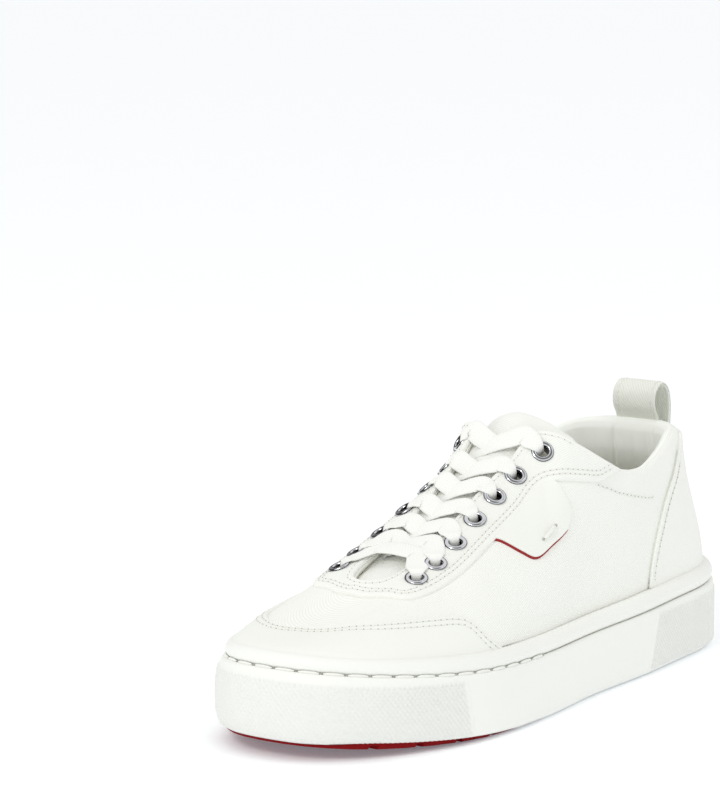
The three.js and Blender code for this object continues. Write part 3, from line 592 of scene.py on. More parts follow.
def holes_at(places):
    """Tells which points lie inside the round holes punched through the upper."""
    centres = np.array([skin(turn, height) for turn, height in places])
    axes = np.array([skin_normal(turn, height) for turn, height in places])

    def inside(points):
        hit = np.zeros(len(points), bool)
        for centre, axis in zip(centres, axes):
            off = points - centre
            along = off @ axis
            away = np.linalg.norm(off - along[:, None] * axis, axis=1)
            hit |= (away < HOLE_RADIUS) & (np.abs(along) < HOLE_REACH)
        return hit
    return inside


def away_from(points, line):
    """The distance of each point from a line of points."""
    flat = points.reshape(-1, 3)
    nearest = np.full(len(flat), np.inf)
    for start in range(0, len(line), LINE_BLOCK):
        block = line[start:start + LINE_BLOCK]
        gap = ((flat[:, None] - block[None]) ** 2).sum(-1).min(1)
        nearest = np.minimum(nearest, gap)
    return np.sqrt(nearest).reshape(points.shape[:-1])


# Finishes

FINISH_PREFIX = "sneaker_"


BAND_SPACING = 0.314
MIX_FACTOR, MIX_FIRST, MIX_SECOND, MIX_RESULT = 0, 6, 7, 2


def feed(tree, socket, value):
    """Gives a socket a value or another node's output."""
    if isinstance(value, bpy.types.NodeSocket):
        tree.links.new(value, socket)
    else:
        socket.default_value = value


def node(tree, kind, inputs=(), **settings):
    made = tree.nodes.new(kind)
    for key, value in settings.items():
        setattr(made, key, value)
    for key, value in dict(inputs).items():
        feed(tree, made.inputs[key], value)
    return made


def new_finish(name, color, roughness, inputs=()):
    material = bpy.data.materials.new(FINISH_PREFIX + name)
    material.use_nodes = True
    tree = material.node_tree
    shader = tree.nodes["Principled BSDF"]
    values = {"Base Color": (*color, 1), "Roughness": roughness, "Sheen Roughness": 0.6, **dict(inputs)}
    for key, value in values.items():
        feed(tree, shader.inputs[key], value)
    return material, tree, shader


def bumped(tree, shader, height, strength, distance):
    bump = node(tree, "ShaderNodeBump", {"Height": height, "Strength": strength, "Distance": distance})
    feed(tree, shader.inputs["Normal"], bump.outputs["Normal"])


def dimmed(color, share):
    return (*(channel * share for channel in color), 1)


def place_on_piece(tree, output="Object"):
    return node(tree, "ShaderNodeTexCoord").outputs[output]


def noise(tree, scale, detail):
    inputs = {"Vector": place_on_piece(tree), "Scale": scale, "Detail": detail}
    return node(tree, "ShaderNodeTexNoise", inputs).outputs["Fac"]


def blotches_and_painted_shade(tree, shader, color, dimming, scale, painted_shade_mask=None):
    """Lets the colour wander at random between two tones, and darkens it where a mask is low: with the weave's
    height as the mask, this is painted shade in its grooves.
    """
    inputs = {MIX_FACTOR: noise(tree, scale, 4.0), MIX_FIRST: dimmed(color, dimming), MIX_SECOND: (*color, 1)}
    tone = node(tree, "ShaderNodeMix", inputs, data_type="RGBA").outputs[MIX_RESULT]
    if painted_shade_mask is not None:
        inputs = {MIX_FACTOR: 0.5, MIX_FIRST: tone, MIX_SECOND: painted_shade_mask}
        tone = node(tree, "ShaderNodeMix", inputs, data_type="RGBA", blend_type="MULTIPLY").outputs[MIX_RESULT]
    feed(tree, shader.inputs["Base Color"], tone)


def turned_weave(tree, angle):
    """The cloth's own coordinates in millimetres, turned by an angle."""
    weave = node(tree, "ShaderNodeUVMap", uv_map="weave").outputs["UV"]
    return node(tree, "ShaderNodeMapping", {"Vector": weave, "Rotation": (0, 0, angle)}).outputs["Vector"]


def bands(tree, place, direction, scale, distortion, inputs=()):
    inputs = {"Vector": place, "Scale": scale, "Distortion": distortion, **dict(inputs)}
    return node(tree, "ShaderNodeTexWave", inputs, wave_type="BANDS", bands_direction=direction).outputs["Fac"]


def twill_lines(tree, pitch, angle):
    """Diagonal ribs of a twill, with the finer threads across them."""
    place = turned_weave(tree, angle)
    ribs = bands(tree, place, "Y", BAND_SPACING / pitch, 0.6, {"Detail": 1.0, "Detail Scale": 2.0})
    threads_across = bands(tree, place, "X", BAND_SPACING / (pitch * 0.55), 0.8)
    inputs = {0: threads_across, 1: 0.35, 2: ribs}
    return node(tree, "ShaderNodeMath", inputs, operation="MULTIPLY_ADD").outputs[0]


def make_canvas(name, color, pitch, angle, depth=0.00012):
    inputs = {"Sheen Weight": 0.15, "Specular IOR Level": 0.25}
    material, tree, shader = new_finish(name, color, 0.92, inputs)
    ribs = twill_lines(tree, pitch, angle)
    ramp = node(tree, "ShaderNodeMapRange", {"Value": ribs, "From Max": 1.3, "To Min": 0.8})
    # Painted shade: the colour is darker where the twill's ribs are low, in their grooves.
    blotches_and_painted_shade(tree, shader, color, 0.965, 60.0, ramp.outputs["Result"])
    bumped(tree, shader, ribs, 0.55, depth)
    return material


def make_leather(name, color, roughness=0.5, grain=0.00008):
    material, tree, shader = new_finish(name, color, roughness, {"Specular IOR Level": 0.4})
    pores = node(tree, "ShaderNodeTexVoronoi", {"Vector": place_on_piece(tree), "Scale": 1300.0})
    inputs = {0: pores.outputs["Distance"], 1: noise(tree, 420.0, 5.0)}
    both = node(tree, "ShaderNodeMath", inputs, operation="ADD")
    blotches_and_painted_shade(tree, shader, color, 0.97, 35.0)
    bumped(tree, shader, both.outputs[0], 0.35, grain)
    return material


def make_rubber(name, color, roughness=0.55, grain=0.00006, specular=0.4):
    material, tree, shader = new_finish(name, color, roughness, {"Specular IOR Level": specular})
    blotches_and_painted_shade(tree, shader, color, 0.97, 28.0)
    bumped(tree, shader, noise(tree, 1500.0, 3.0), 0.3, grain)
    return material


def make_cotton(name, color, pitch=0.85):
    """Woven lace and thread: two sets of slanted threads that cross."""
    inputs = {"Sheen Weight": 0.2, "Specular IOR Level": 0.2}
    material, tree, shader = new_finish(name, color, 0.9, inputs)
    slanted = [bands(tree, turned_weave(tree, angle), "X", BAND_SPACING / pitch, 0.4) for angle in (0.7, -0.7)]
    both = node(tree, "ShaderNodeMath", enumerate(slanted), operation="MAXIMUM").outputs[0]
    ramp = node(tree, "ShaderNodeMapRange", {"Value": both, "To Min": 0.88})
    # Painted shade: the colour is darker where the crossing threads are low.
    blotches_and_painted_shade(tree, shader, color, 0.975, 90.0, ramp.outputs["Result"])
    bumped(tree, shader, both, 0.45, 0.00014)
    return material


def make_metal_with_painted_reflections(name, color):
    """Polished metal whose base colour is painted in dark and light bands by the way each face turns: painted
    reflections.
    """
    material, tree, shader = new_finish(name, color, 0.16, {"Metallic": 1.0})
    inputs = {"Value": noise(tree, 700.0, 6.0), "To Min": 0.08, "To Max": 0.26}
    ramp = node(tree, "ShaderNodeMapRange", inputs)
    feed(tree, shader.inputs["Roughness"], ramp.outputs["Result"])
    # Painted reflections: the base colour runs from near black to full in bands set by the facing direction.
    facing = bands(tree, place_on_piece(tree, "Normal"), "DIAGONAL", 0.62, 0.0)
    tone = node(tree, "ShaderNodeValToRGB", {"Fac": facing})
    painted_reflection_stops = ((0.58, dimmed(color, 0.05)), (0.95, (*color, 1)))
    for element, (position, shade) in zip(tone.color_ramp.elements, painted_reflection_stops):
        element.position = position
        element.color = shade
    feed(tree, shader.inputs["Base Color"], tone.outputs["Color"])
    return material


def finish_named(name):
    return bpy.data.materials[FINISH_PREFIX + name]


# Sole

TEXTURE_PITCH = 2.2
TEXTURE_ROW = 1.3
TEXTURE_RISE = 0.66
TEXTURE_LOW = 2.6
TOE_TEXTURE_TOP = 0.3488
TOE_TEXTURE_FOOT = 0.3417
HEEL_TEXTURE_TOP = 0.1735
HEEL_TEXTURE_FOOT = 0.1859
RIB_RISE = 0.45
SIDEWALL_FOOT_REAR = 0.7
TOE_TIP_DROP = 1.8

# How the sidewall's lower and upper edges are rounded, at the sides and at the toe
FOOT_REACH = (2.4, 8.5)
FOOT_DEPTH = (1.7, 3.6)
TOP_REACH = (1.4, 14.0)
TOP_DEPTH = (1.0, 3.4)
FOOT_ROWS = (0.0, 0.12, 0.4, 0.9, 1.4)
TOP_SHARES = (0.35, 0.6, 0.78, 0.9, 0.97, 1.0)
RIM_ROWS = [
    # inset at the sides, inset at the toe, height over the sidewall's top
    (1.3, 3.7, 0.06), (2.6, 4.4, -0.25), (4.5, 5.2, -0.2), (SIDEWALL_THICKNESS, SIDEWALL_THICKNESS, -0.3),
]
FOOTBED_SEAT = 0.4
FOOTBED_RIM = 14.0
UNDERSIDE_RIM = 3.2


def evenly_along(line, dense, count):
    """Turns that are evenly spread along a line, given its lengths at close turns."""
    return np.interp(np.arange(count) / count * line[-1], line, dense)


def even_turns(count):
    """Turns that are evenly spread along the length of the outline."""
    dense = np.linspace(0, 1, 4001)
    return evenly_along(arc_lengths(outline(dense), 0), dense, count)


def sidewall_columns():
    """Turns of the sidewall's columns, close together where it has pyramids."""
    dense = np.linspace(0, 1, 8001)
    length = arc_lengths(outline(dense), 0)
    steps = np.arange(4 * round(length[-1] / TEXTURE_PITCH))
    turn = evenly_along(length, dense, len(steps))
    side = both_sides(turn)
    textured = (side > TOE_TEXTURE_FOOT - 0.006) | (side < HEEL_TEXTURE_FOOT + 0.006)
    keep = textured | (steps % 4 == 0)
    return turn[keep], steps[keep] / 2


def sidewall_relief(turn, z, steps):
    """The pyramids at toe and heel, and the rib at each zone's border."""
    level = np.clip(z / SIDEWALL_HEEL, 0, 1)
    side = both_sides(turn)
    ahead = (side - mix(TOE_TEXTURE_FOOT, TOE_TEXTURE_TOP, level)) * 700
    behind = (mix(HEEL_TEXTURE_FOOT, HEEL_TEXTURE_TOP, level) - side) * 700
    inside = np.maximum(smooth_step(0.3, 1.1, ahead), smooth_step(0.3, 1.1, behind))
    fade = smooth_step(TEXTURE_LOW - 1.0, TEXTURE_LOW, z)
    fade = fade * (1 - smooth_step(SIDEWALL_WAIST - 1.7, SIDEWALL_WAIST - 0.6, z))
    row = (z - TEXTURE_LOW) / TEXTURE_ROW
    one, other = (steps + row) / 2, (steps - row) / 2
    away = np.maximum(np.abs(one - np.round(one)), np.abs(other - np.round(other)))
    rib = np.maximum(np.exp(-(ahead / 0.8) ** 2), np.exp(-(behind / 0.8) ** 2))
    return (TEXTURE_RISE * (1 - 2 * away) * inside + RIB_RISE * rib) * fade


def make_cup_sole(finishes):
    """The white sidewall with its textured toe and heel, and the footbed inside it."""
    turn, steps = sidewall_columns()
    x = outline(turn)[..., 0]
    lift = ground_lift(x)
    top = sidewall_top(x)
    at_toe = toe_share(x)
    foot = lift + mix(SIDEWALL_FOOT_REAR, SIDEWALL_LIFT, smooth_step(0.55, 0.88, x / SOLE_LENGTH))
    foot = foot - TOE_TIP_DROP * smooth_step(0.92, 0.995, x / SOLE_LENGTH)
    heights = [*FOOT_ROWS, *np.arange(TEXTURE_LOW, SIDEWALL_WAIST - 1.0, TEXTURE_ROW / 2)]
    levels = [lift + height for height in heights]
    levels += [mix(lift + heights[-1], top, share) for share in TOP_SHARES]
    rows = []
    for level in levels:
        z = np.maximum(level, foot)
        low, high = mix(*FOOT_DEPTH, at_toe), mix(*TOP_DEPTH, at_toe)
        drawn_in = low - rounded_edge(z - foot, low, mix(*FOOT_REACH, at_toe))
        drawn_in = drawn_in + high - rounded_edge(top - z, high, mix(*TOP_REACH, at_toe))
        rows.append(raised(outline_inset(turn, drawn_in - sidewall_relief(turn, z - lift, steps)), z))
    rows += [raised(outline_inset(turn, mix(side, toe, at_toe)), top + rise) for side, toe, rise in RIM_ROWS]
    seat = footbed(x) - FOOTBED_SEAT
    rows += [raised(outline_inset(turn, inset), seat) for inset in (SIDEWALL_THICKNESS + 0.2, FOOTBED_RIM)]
    middle = sole_middle(turn, HEEL_ROUND_LENGTH, SOLE_LENGTH - HEEL_ROUND_LENGTH)
    rows.append(raised(middle, footbed(middle[..., 0]) - FOOTBED_SEAT))
    under = (middle, outline_inset(turn, FOOTBED_RIM), outline_inset(turn, UNDERSIDE_RIM))
    parts = MeshParts()
    parts.add(*grid_body(np.stack([*(raised(place, foot) for place in under), *rows]), False))
    return parts.build("cup_sole", finishes)


WELT_COLUMNS = 700
WELT_SEAT = 0.2
WELT_TOE_SWELL = 2.4
WELT_INSET = (0.35, 3.6)
WELT_INNER_INSET = (6.75, 9.2)
WELT_TOE_NARROWING = 0.9
WELT_PROFILE = [
    # share of the height, inset
    (0.0, 5.4), (0.0, 2.3), (0.07, 1.75), (0.16, 1.0), (0.28, 0.5), (0.45, 0.25), (0.6, 0.35),
    (0.74, 0.75), (0.86, 1.4), (0.95, 2.3), (1.0, 3.3), (0.99, 4.6), (0.96, 6.7),
]


def make_welt_roll(finishes):
    """The thick rounded roll between the sidewall and the upper."""
    turn = even_turns(WELT_COLUMNS)
    x = outline(turn)[..., 0]
    at_toe = toe_share(x)
    low = sidewall_top(x) - WELT_SEAT
    tall = welt_top(x) + WELT_TOE_SWELL * smooth_step(0.35, 0.9, x / SOLE_LENGTH) - low
    narrowed = mix(1, WELT_TOE_NARROWING, at_toe)
    outer = np.stack([
        raised(outline_inset(turn, inset * narrowed + mix(*WELT_INSET, at_toe)), low + tall * share)
        for share, inset in WELT_PROFILE])
    inner = outer.copy()
    inner[:, :, :2] = outline_inset(turn, mix(*WELT_INNER_INSET, at_toe))
    parts = MeshParts()
    add_shell(parts, outer, inner, wrap_columns=True)
    return parts.build("welt_roll", finishes)


WELT_STITCH_PITCH = 9.4
WELT_STITCH_START = 0.285
WELT_STITCH_RISE = 0.3
WELT_STITCH_INSET = (1.1, 4.2)
WELT_STITCH_ROWS = [
    # shift along the row in stitches, length, girth, depth, finish
    # The second row's small sunk beads take the grey finish: painted shade of the needle holes.
    (0.5, 8.6, 1.2, 0.0, 0), (0.0, 0.8, 0.8, 0.25, 1),
]


def make_welt_stitches(finishes):
    """Long stitches in the groove under the welt, round the toe from ball to ball."""
    turns = np.linspace(WELT_STITCH_START, 1 - WELT_STITCH_START, LINE_SAMPLES)
    x = outline(turns)[..., 0]
    line = raised(outline_inset(turns, mix(*WELT_STITCH_INSET, toe_share(x))), sidewall_top(x) + WELT_STITCH_RISE)
    length = arc_lengths(line, 0)
    count = int(length[-1] / WELT_STITCH_PITCH)
    along = unit(np.gradient(line, axis=0))
    parts = MeshParts()
    for shift, size, girth, depth, finish in WELT_STITCH_ROWS:
        at = (np.arange(count) + shift) * length[-1] / count
        centre = read_along(at, length, line)
        direction = unit(read_along(at, length, along))
        outward = np.stack([-direction[:, 1], direction[:, 0], np.zeros(count)], -1)
        facing = np.sign((outward * (centre - [SOLE_LENGTH / 2, 0, 0])).sum(-1, keepdims=True))
        normal = unit(outward * facing + [0.0, 0.0, 0.5])
        add_stitches(parts, centre - normal * depth, direction, normal, size, girth, finish)
    return parts.build("welt_stitches", finishes)


INSOLE_COLUMNS = 240
INSOLE_GAP = 0.35
INSOLE_MIDDLE = (34, 262)
INSOLE_MIDDLE_RISE = 4.1
INSOLE_PROFILE = [
    # inset, height over the footbed
    (9.2, INSOLE_GAP), (8.6, 1.2), (8.5, 3.6), (8.9, 5.0), (10.0, 5.45), (12.0, 5.3), (16.0, 4.6),
    (20.0, 4.2), (25.0, 4.1),
]


def make_insole(finishes):
    """A cushioned sheet that lies on the footbed inside the walls."""
    turn = even_turns(INSOLE_COLUMNS)
    places = [(outline_inset(turn, inset), rise) for inset, rise in INSOLE_PROFILE]
    places.append((sole_middle(turn, *INSOLE_MIDDLE), INSOLE_MIDDLE_RISE))
    outer = np.stack([raised(place, footbed(place[..., 0]) + rise) for place, rise in places])
    inner = outer.copy()
    inner[..., 2] = footbed(inner[..., 0]) + INSOLE_GAP
    parts = MeshParts()
    add_shell(parts, outer, inner, wrap_columns=True)
    return parts.build("insole_sheet", finishes)


# Upper

UPPER_COLUMNS = 560
UPPER_ROLL_ANGLES = (15, 30, 45, 60, 75, 90)
UPPER_LINING_HEIGHTS = (
    0.985, 0.965, 0.92, 0.85, 0.75, 0.65, 0.55, 0.45, 0.35, 0.25, 0.15, 0.08, 0.02, -0.2, -0.5, -0.8,
)
COLLAR_END = 0.235
STAY_SPAN = 0.209
CAP_SPAN = 0.309
HEEL_SPAN = 0.172
OVERLAY_TOP = 1.6
ROLL_RISE = 0.9


def upper_turns(count):
    """Turns spread so that columns are about equally wide halfway up."""
    dense = np.linspace(0, 1, 2001)
    length = arc_lengths(bare_skin(dense, 0.5), 0) + arc_lengths(bare_skin(dense, 0.95), 0)
    return np.interp(np.arange(count) / count * length[-1], length, dense)


def roll_row(turn, angle, wall, extra=0.0):
    """Points on the rounded top edge: 0 degrees is outside and 180 is inside."""
    angle = math.radians(angle)
    edge = bare_skin(turn, 1.0)
    normal = skin_normal(turn, 1.0)
    up = unit(edge - bare_skin(turn, 0.94))
    radius = (wall / 2 + extra)[:, None]
    centre = edge - (normal + up * ROLL_RISE) * (wall / 2)[:, None]
    return centre + normal * radius * math.cos(angle) + up * radius * ROLL_RISE * math.sin(angle)


def below_roll(turn, height):
    """Heights drawn down so that the skin ends where the rounded top edge starts."""
    steepness = np.linalg.norm(bare_skin(turn, 1.0) - bare_skin(turn, 0.94), axis=-1) / 0.06
    start = 1 - ROLL_RISE * wall_at(turn, 1.0) / 2 / steepness
    return np.where(height > 0.8, 0.8 + (height - 0.8) / 0.2 * (start - 0.8), height)


def eyelet_spots():
    spots = [eyelet_place(index, side) for side in (1, -1) for index in range(EYELETS_PER_SIDE)]
    return spots + [(turn, height) for _, turn, height in VENTS]


def make_upper_shell(finishes):
    """The vamp and quarters: canvas outside, lining cloth inside."""
    turn = upper_turns(UPPER_COLUMNS)
    heights = np.concatenate([[-0.12, -0.02], np.linspace(0.01, 0.96, 88), [0.98, 0.992, 1.0]])
    outer = [skin(turn, below_roll(turn, height)) for height in heights]
    wall = wall_at(turn, 1.0)
    roll = [roll_row(turn, angle, wall) for angle in UPPER_ROLL_ANGLES]
    lining = [skin(turn, height, -UPPER_WALL) for height in UPPER_LINING_HEIGHTS]
    grid = np.stack([*outer, *roll, *lining])
    faces, corner_rows, corner_columns = grid_faces(*grid.shape[:2], True, True)
    wrapped = looped(grid, True, True)
    weave = np.stack([wrapped[..., 0], arc_lengths(wrapped, 0)], -1)
    points = grid.reshape(-1, 3)
    keep = ~holes_at(eyelet_spots())(points[faces].mean(1))
    is_lining = (corner_rows[:, 0] >= len(outer) + len(roll) - 1).astype(int)
    faces, corners = turned_outward(points, faces, weave[corner_rows, corner_columns])
    parts = MeshParts()
    parts.add(points, faces[keep], corners[keep], is_lining[keep])
    return parts.build("upper_shell", finishes)


COLLAR_LIP = [
    # degrees round the top edge, height over it
    (80, -0.5), (83, -0.05), (88, 0.22), (96, 0.35), (108, 0.4), (120, 0.42), (132, 0.42),
    (144, 0.4), (156, 0.36), (168, 0.3),
]
COLLAR_BACK = -0.9


def collar_wrinkles(turn, depth):
    """Soft upright folds of the padded lining, fading towards its ends."""
    fold = np.sin(turn * 2 * np.pi * 23 + 1.3) * 0.5 + np.sin(turn * 2 * np.pi * 37 + 0.4) * 0.35
    fold = fold + np.sin(turn * 2 * np.pi * 61 + 2.1) * 0.15
    seams = -1.1 * (np.exp(-((turn - 0.055) / 0.0035) ** 2) + np.exp(-((turn + 0.055) / 0.0035) ** 2))
    return 0.45 * fold * smooth_step(0.0, 0.3, depth) + seams * smooth_step(-0.2, 0.25, depth)


def make_collar_lining(finishes):
    """The padded leather lining that rolls over the top line."""
    turn = np.linspace(-COLLAR_END, COLLAR_END, 460)
    ends = 1 - smooth_step(COLLAR_END - 0.012, COLLAR_END, np.abs(turn))
    wall = wall_at(turn, 1.0)
    lip = [roll_row(turn, angle, wall, rise) for angle, rise in COLLAR_LIP]
    back = [roll_row(turn, angle, wall, COLLAR_BACK) for angle, _ in COLLAR_LIP]
    inside, behind = [], []
    for height in np.concatenate([np.linspace(1.0, 0.93, 5), np.linspace(0.915, 0.47, 30), [0.455, 0.448]]):
        depth = (1 - height) / 0.5
        thickness = wall_at(turn, height)
        crown = 0.8 * np.sin(np.pi * np.clip(depth, 0, 1)) * ends
        hem = 0.7 * smooth_step(0.445, 0.475, height)
        lift = collar_wrinkles(turn, depth) * ends + crown
        drawn = below_roll(turn, height)
        inside.append(skin(turn, drawn, -thickness - lift - 0.15 - hem))
        behind.append(skin(turn, drawn, -np.maximum(thickness - 3.5, UPPER_WALL + 0.1)))
    outer = np.stack([*lip, *inside])
    inner = np.stack([*back, *behind])
    parts = MeshParts()
    add_shell(parts, outer, inner)
    return parts.build("collar_lining", finishes)


def edge_line(turns, low, high, sides):
    """Points all along the chosen edges of a region of the skin."""
    lines = []
    if "low" in sides:
        lines.append(bare_skin(turns, low))
    if "high" in sides:
        lines.append(bare_skin(turns, high))
    if "ends" in sides:
        share = np.linspace(0, 1, 40)
        for column in (0, -1):
            ends = mix(low[column], high[column], share)
            lines.append(bare_skin(np.full(40, turns[column]), ends))
    return np.concatenate(lines)


def ends_clustered(count, power=1.6):
    """Shares from 0 to 1 that lie closer together near both ends."""
    even = np.linspace(-1, 1, count)
    return (np.sign(even) * (1 - (1 - np.abs(even)) ** power) + 1) / 2


OVERLAY_FOOT = 0.25
OVERLAY_SUNK = 0.3
GROOVE_WIDTH = 0.9


def add_overlay(parts, turns, low, high, rows, edges, base, top, radius, grooves=(), skip=None):
    """A sheet laid on the skin, with rounded edges and grooves (distance, depth) under its seams."""
    height_grid = mix(low[None, :], high[None, :], ends_clustered(rows)[:, None])
    turn_grid = np.broadcast_to(turns, height_grid.shape)
    distance = away_from(bare_skin(turn_grid, height_grid), edge_line(turns, low, high, edges))
    lift = base + rounded_edge(distance, top - base, radius)
    for at, depth in grooves:
        lift = lift - depth * np.exp(-((distance - at) / (GROOVE_WIDTH / 2)) ** 2)
    outer = skin(turn_grid, height_grid, lift)
    inner = skin(turn_grid, height_grid, -OVERLAY_SUNK)
    add_shell(parts, outer, inner, skip=skip)


def rounded_edge(distance, thickness, radius):
    share = np.clip(distance / radius, 0, 1)
    return thickness * np.sqrt(1 - (1 - share) ** 2)


CAP_STITCHES = (2.0, 4.4)
STAY_STITCHES = (2.8, 4.7)
SEAM_DEPTH = 0.12
HEEL_GROOVE = (2.4, 0.25)


def make_toe_cap(finishes):
    turns = np.linspace(CAP_SPAN + 0.0005, 1 - CAP_SPAN - 0.0005, 360)
    high = cap_edge(turns)
    low = np.full(len(turns), -0.05)
    parts = MeshParts()
    grooves = [(distance, SEAM_DEPTH) for distance in CAP_STITCHES]
    add_overlay(parts, turns, low, high, 80, ["high"], OVERLAY_FOOT, OVERLAY_TOP, 1.1, grooves)
    return parts.build("toe_cap_leather", finishes)


def make_eyestay(finishes):
    turns = np.linspace(STAY_SPAN, 1 - STAY_SPAN, 680)
    low = STAY_EDGE(both_sides(turns))
    high = np.full(len(turns), 1.0)
    parts = MeshParts()
    holes = holes_at(eyelet_spots()[:-len(VENTS)])
    grooves = [(distance, SEAM_DEPTH) for distance in STAY_STITCHES]
    edges = ["low", "high", "ends"]
    add_overlay(parts, turns, low, high, 60, edges, OVERLAY_FOOT, OVERLAY_TOP, 1.2, grooves, holes)
    return parts.build("eyestay_canvas", finishes)


def make_heel_panel(finishes):
    turns = np.linspace(-HEEL_SPAN + 0.0005, HEEL_SPAN - 0.0005, 300)
    high = np.minimum(HEEL_EDGE(np.abs(turns)), 0.962)
    low = np.full(len(turns), -0.05)
    parts = MeshParts()
    add_overlay(parts, turns, low, high, 60, ["high"], OVERLAY_FOOT, OVERLAY_TOP, 1.2, [HEEL_GROOVE])
    return parts.build("heel_panel_canvas", finishes)


def make_heel_piping(finishes):
    """A thin bright roll along each slanted edge of the heel panel."""
    parts = MeshParts()
    for side in (1, -1):
        turn = np.linspace(0.117, HEEL_SPAN, 160)
        height = HEEL_EDGE(turn)
        path = skin(side * turn, height, 1.15)
        normal = skin_normal(side * turn, height)
        add_tube(parts, ribbon_sections(path, normal, 1.25, 1.25, 8))
    return parts.build("heel_piping", finishes)


def make_side_tab(finishes, backing=False):
    """The leather tab tucked under the eyestay, or the thin red layer below it."""
    spread = (1 - np.cos(np.linspace(0, np.pi, 120))) / 2
    turns = mix(TAB_SPAN[0], TAB_SPAN[1], spread)[1:-1]
    low, high = TAB_EDGES(turns)
    parts = MeshParts()
    if backing:
        add_overlay(parts, turns, low - 0.009, high - 0.02, 40, ["low"], 0.1, 0.65, 0.5)
        return parts.build("side_tab_backing", finishes)
    add_overlay(parts, turns, low, high, 60, ["low", "ends"], 0.2, 1.5, 0.8)
    return parts.build("side_tab_leather", finishes)


def make_tab_bar(finishes):
    """A short bar of thread through the tab, with a grey bead at each end whose colour is painted shade for the
    needle hole.
    """
    start, end = (skin(*place, 1.55) for place in TAB_BAR)
    middle, direction = (start + end) / 2, unit(end - start)
    normal = skin_normal(*np.mean(TAB_BAR, axis=0))
    parts = MeshParts()
    add_stitches(parts, middle[None], direction[None], normal[None], float(np.linalg.norm(end - start)), 1.9)
    ends = np.stack([start, end])
    add_stitches(parts, ends, np.stack([direction] * 2), np.stack([normal] * 2), 1.2, 1.2, 1)
    return parts.build("side_tab_bar", finishes)


# Tongue, laces, loop

TONGUE_ROWS = Table("x z rise half drop", [
    (0.0, 0.783, 0.4829, 0, 0.56, 0.1),
    (0.1, 0.755, 0.5203, 0, 0.66, 0.14),
    (0.22, 0.71, 0.5599, 0, 0.76, 0.21),
    (0.36, 0.655, 0.6192, 0, 0.84, 0.29),
    (0.52, 0.594, 0.7067, 0, 0.88, 0.37),
    (0.68, 0.533, 0.8014, 0, 0.9, 0.5),
    (0.84, 0.473, 0.9107, 0, 0.94, 0.64),
    (1.0, 0.413, 1.0, 1, 1.05, 0.76),
])
TONGUE_RISE = 4.5
TONGUE_SEAM = 0.882


def tongue_centre(along):
    x, z, rise = TONGUE_ROWS(along)[:3]
    return np.stack([x * SOLE_LENGTH, np.zeros_like(x), z * INSTEP_HEIGHT + rise * TONGUE_RISE], -1)


def tongue_point(along, across, depth):
    along, across, depth = np.broadcast_arrays(*(np.asarray(part, float) for part in (along, across, depth)))
    ahead = tongue_centre(np.minimum(along + 0.02, 1)) - tongue_centre(np.maximum(along - 0.02, 0))
    up = unit(np.stack([ahead[..., 2], np.zeros_like(along), -ahead[..., 0]], -1))
    half, drop = (value * HALF_TONGUE for value in TONGUE_ROWS(along)[3:])
    lean = np.arctan2(2 * drop * across, half)
    point = tongue_centre(along) + up * (-drop * across ** 2 - depth * np.cos(lean))[..., None]
    point[..., 1] = across * half - depth * np.sin(lean)
    return point


def tongue_thickness(along):
    return TONGUE_THICKNESS + TONGUE_PADDING * smooth_step(0.45, 0.8, along)


def make_tongue(finishes):
    rows = 150
    columns = 96
    rounded = 0.9 + 0.1 * np.sin(np.linspace(0, np.pi / 2, rows - 117))[1:]
    along = np.concatenate([np.linspace(0, 0.9, 118), rounded])
    across = np.sin(np.linspace(-1, 1, columns) * np.pi / 2 * 0.97) / math.sin(np.pi / 2 * 0.97)
    thickness = tongue_thickness(along)[:, None]
    near_top = np.clip((1 - along) / 0.045, 0, 1)[:, None]
    corner = np.clip((0.86 - (1 - along) / 0.085)[:, None], 0, 1)
    narrowed = across[None, :] * (1 - 0.16 * corner ** 2.2)
    edge = np.clip((1 - np.abs(across))[None, :] / 0.085, 0, 1)
    bulge = np.sqrt(1 - (1 - np.minimum(edge, 1)) ** 2) * np.sqrt(1 - (1 - near_top) ** 2)
    full = along[:, None] * np.ones(columns)
    from_top = (1 - full) * 68
    from_side = (1 - np.abs(across))[None, :] * HALF_TONGUE
    seam = np.exp(-((from_top - 8.0) / 0.7) ** 2) * smooth_step(2.0, 4.0, from_side * np.ones_like(full))
    side_seam = np.exp(-((from_side - 3.2) / 0.6) ** 2) * smooth_step(6.0, 9.0, from_top)
    pad = 0.6 * smooth_step(9, 16, from_top) * smooth_step(0.5, 0.75, full) * np.cos(across * 1.4)[None, :]
    ripple = 0.25 * np.sin(full * 41 + 2 * across[None, :] ** 2 * 6) * smooth_step(0.6, 0.9, full)
    upper_depth = thickness / 2 * (1 - bulge) + 0.55 * (seam + side_seam) - pad - ripple
    lower_depth = thickness - thickness / 2 * (1 - bulge)
    outer = tongue_point(full, narrowed, upper_depth)
    inner = tongue_point(full, narrowed, lower_depth)
    parts = MeshParts()
    add_shell(parts, outer, inner, inner_finish=1)
    return parts.build("tongue_padded", finishes)


def make_tongue_stitches(finishes):
    """A row of stitches below the tongue's top, which turns down along each side."""
    share = np.linspace(0, 1, 400)
    across = np.clip((share - 0.5) * 4, -1, 1) * 0.84
    along = TONGUE_SEAM - 0.42 * np.maximum(np.abs(share - 0.5) * 4 - 1, 0)
    line = tongue_point(along, across, -0.1)
    normals = unit(line - tongue_point(along, across, 1.0))
    length = arc_lengths(line, 0)
    direction = unit(np.gradient(line, axis=0))
    parts = MeshParts()
    # The second kind are grey beads: painted shade of the needle holes.
    kinds = ((0.0, STITCH_LENGTH, STITCH_THICKNESS, 0), (0.5, 0.55, NEEDLE_HOLE, 1))
    for shift, size, girth, finish in kinds:
        at = np.arange(2 + shift * STITCH_PITCH, length[-1] - 2, STITCH_PITCH)
        place, heading, facing = (read_along(at, length, values) for values in (line, direction, normals))
        add_stitches(parts, place, unit(heading), unit(facing), size, girth, finish)
    return parts.build("tongue_stitches", finishes)


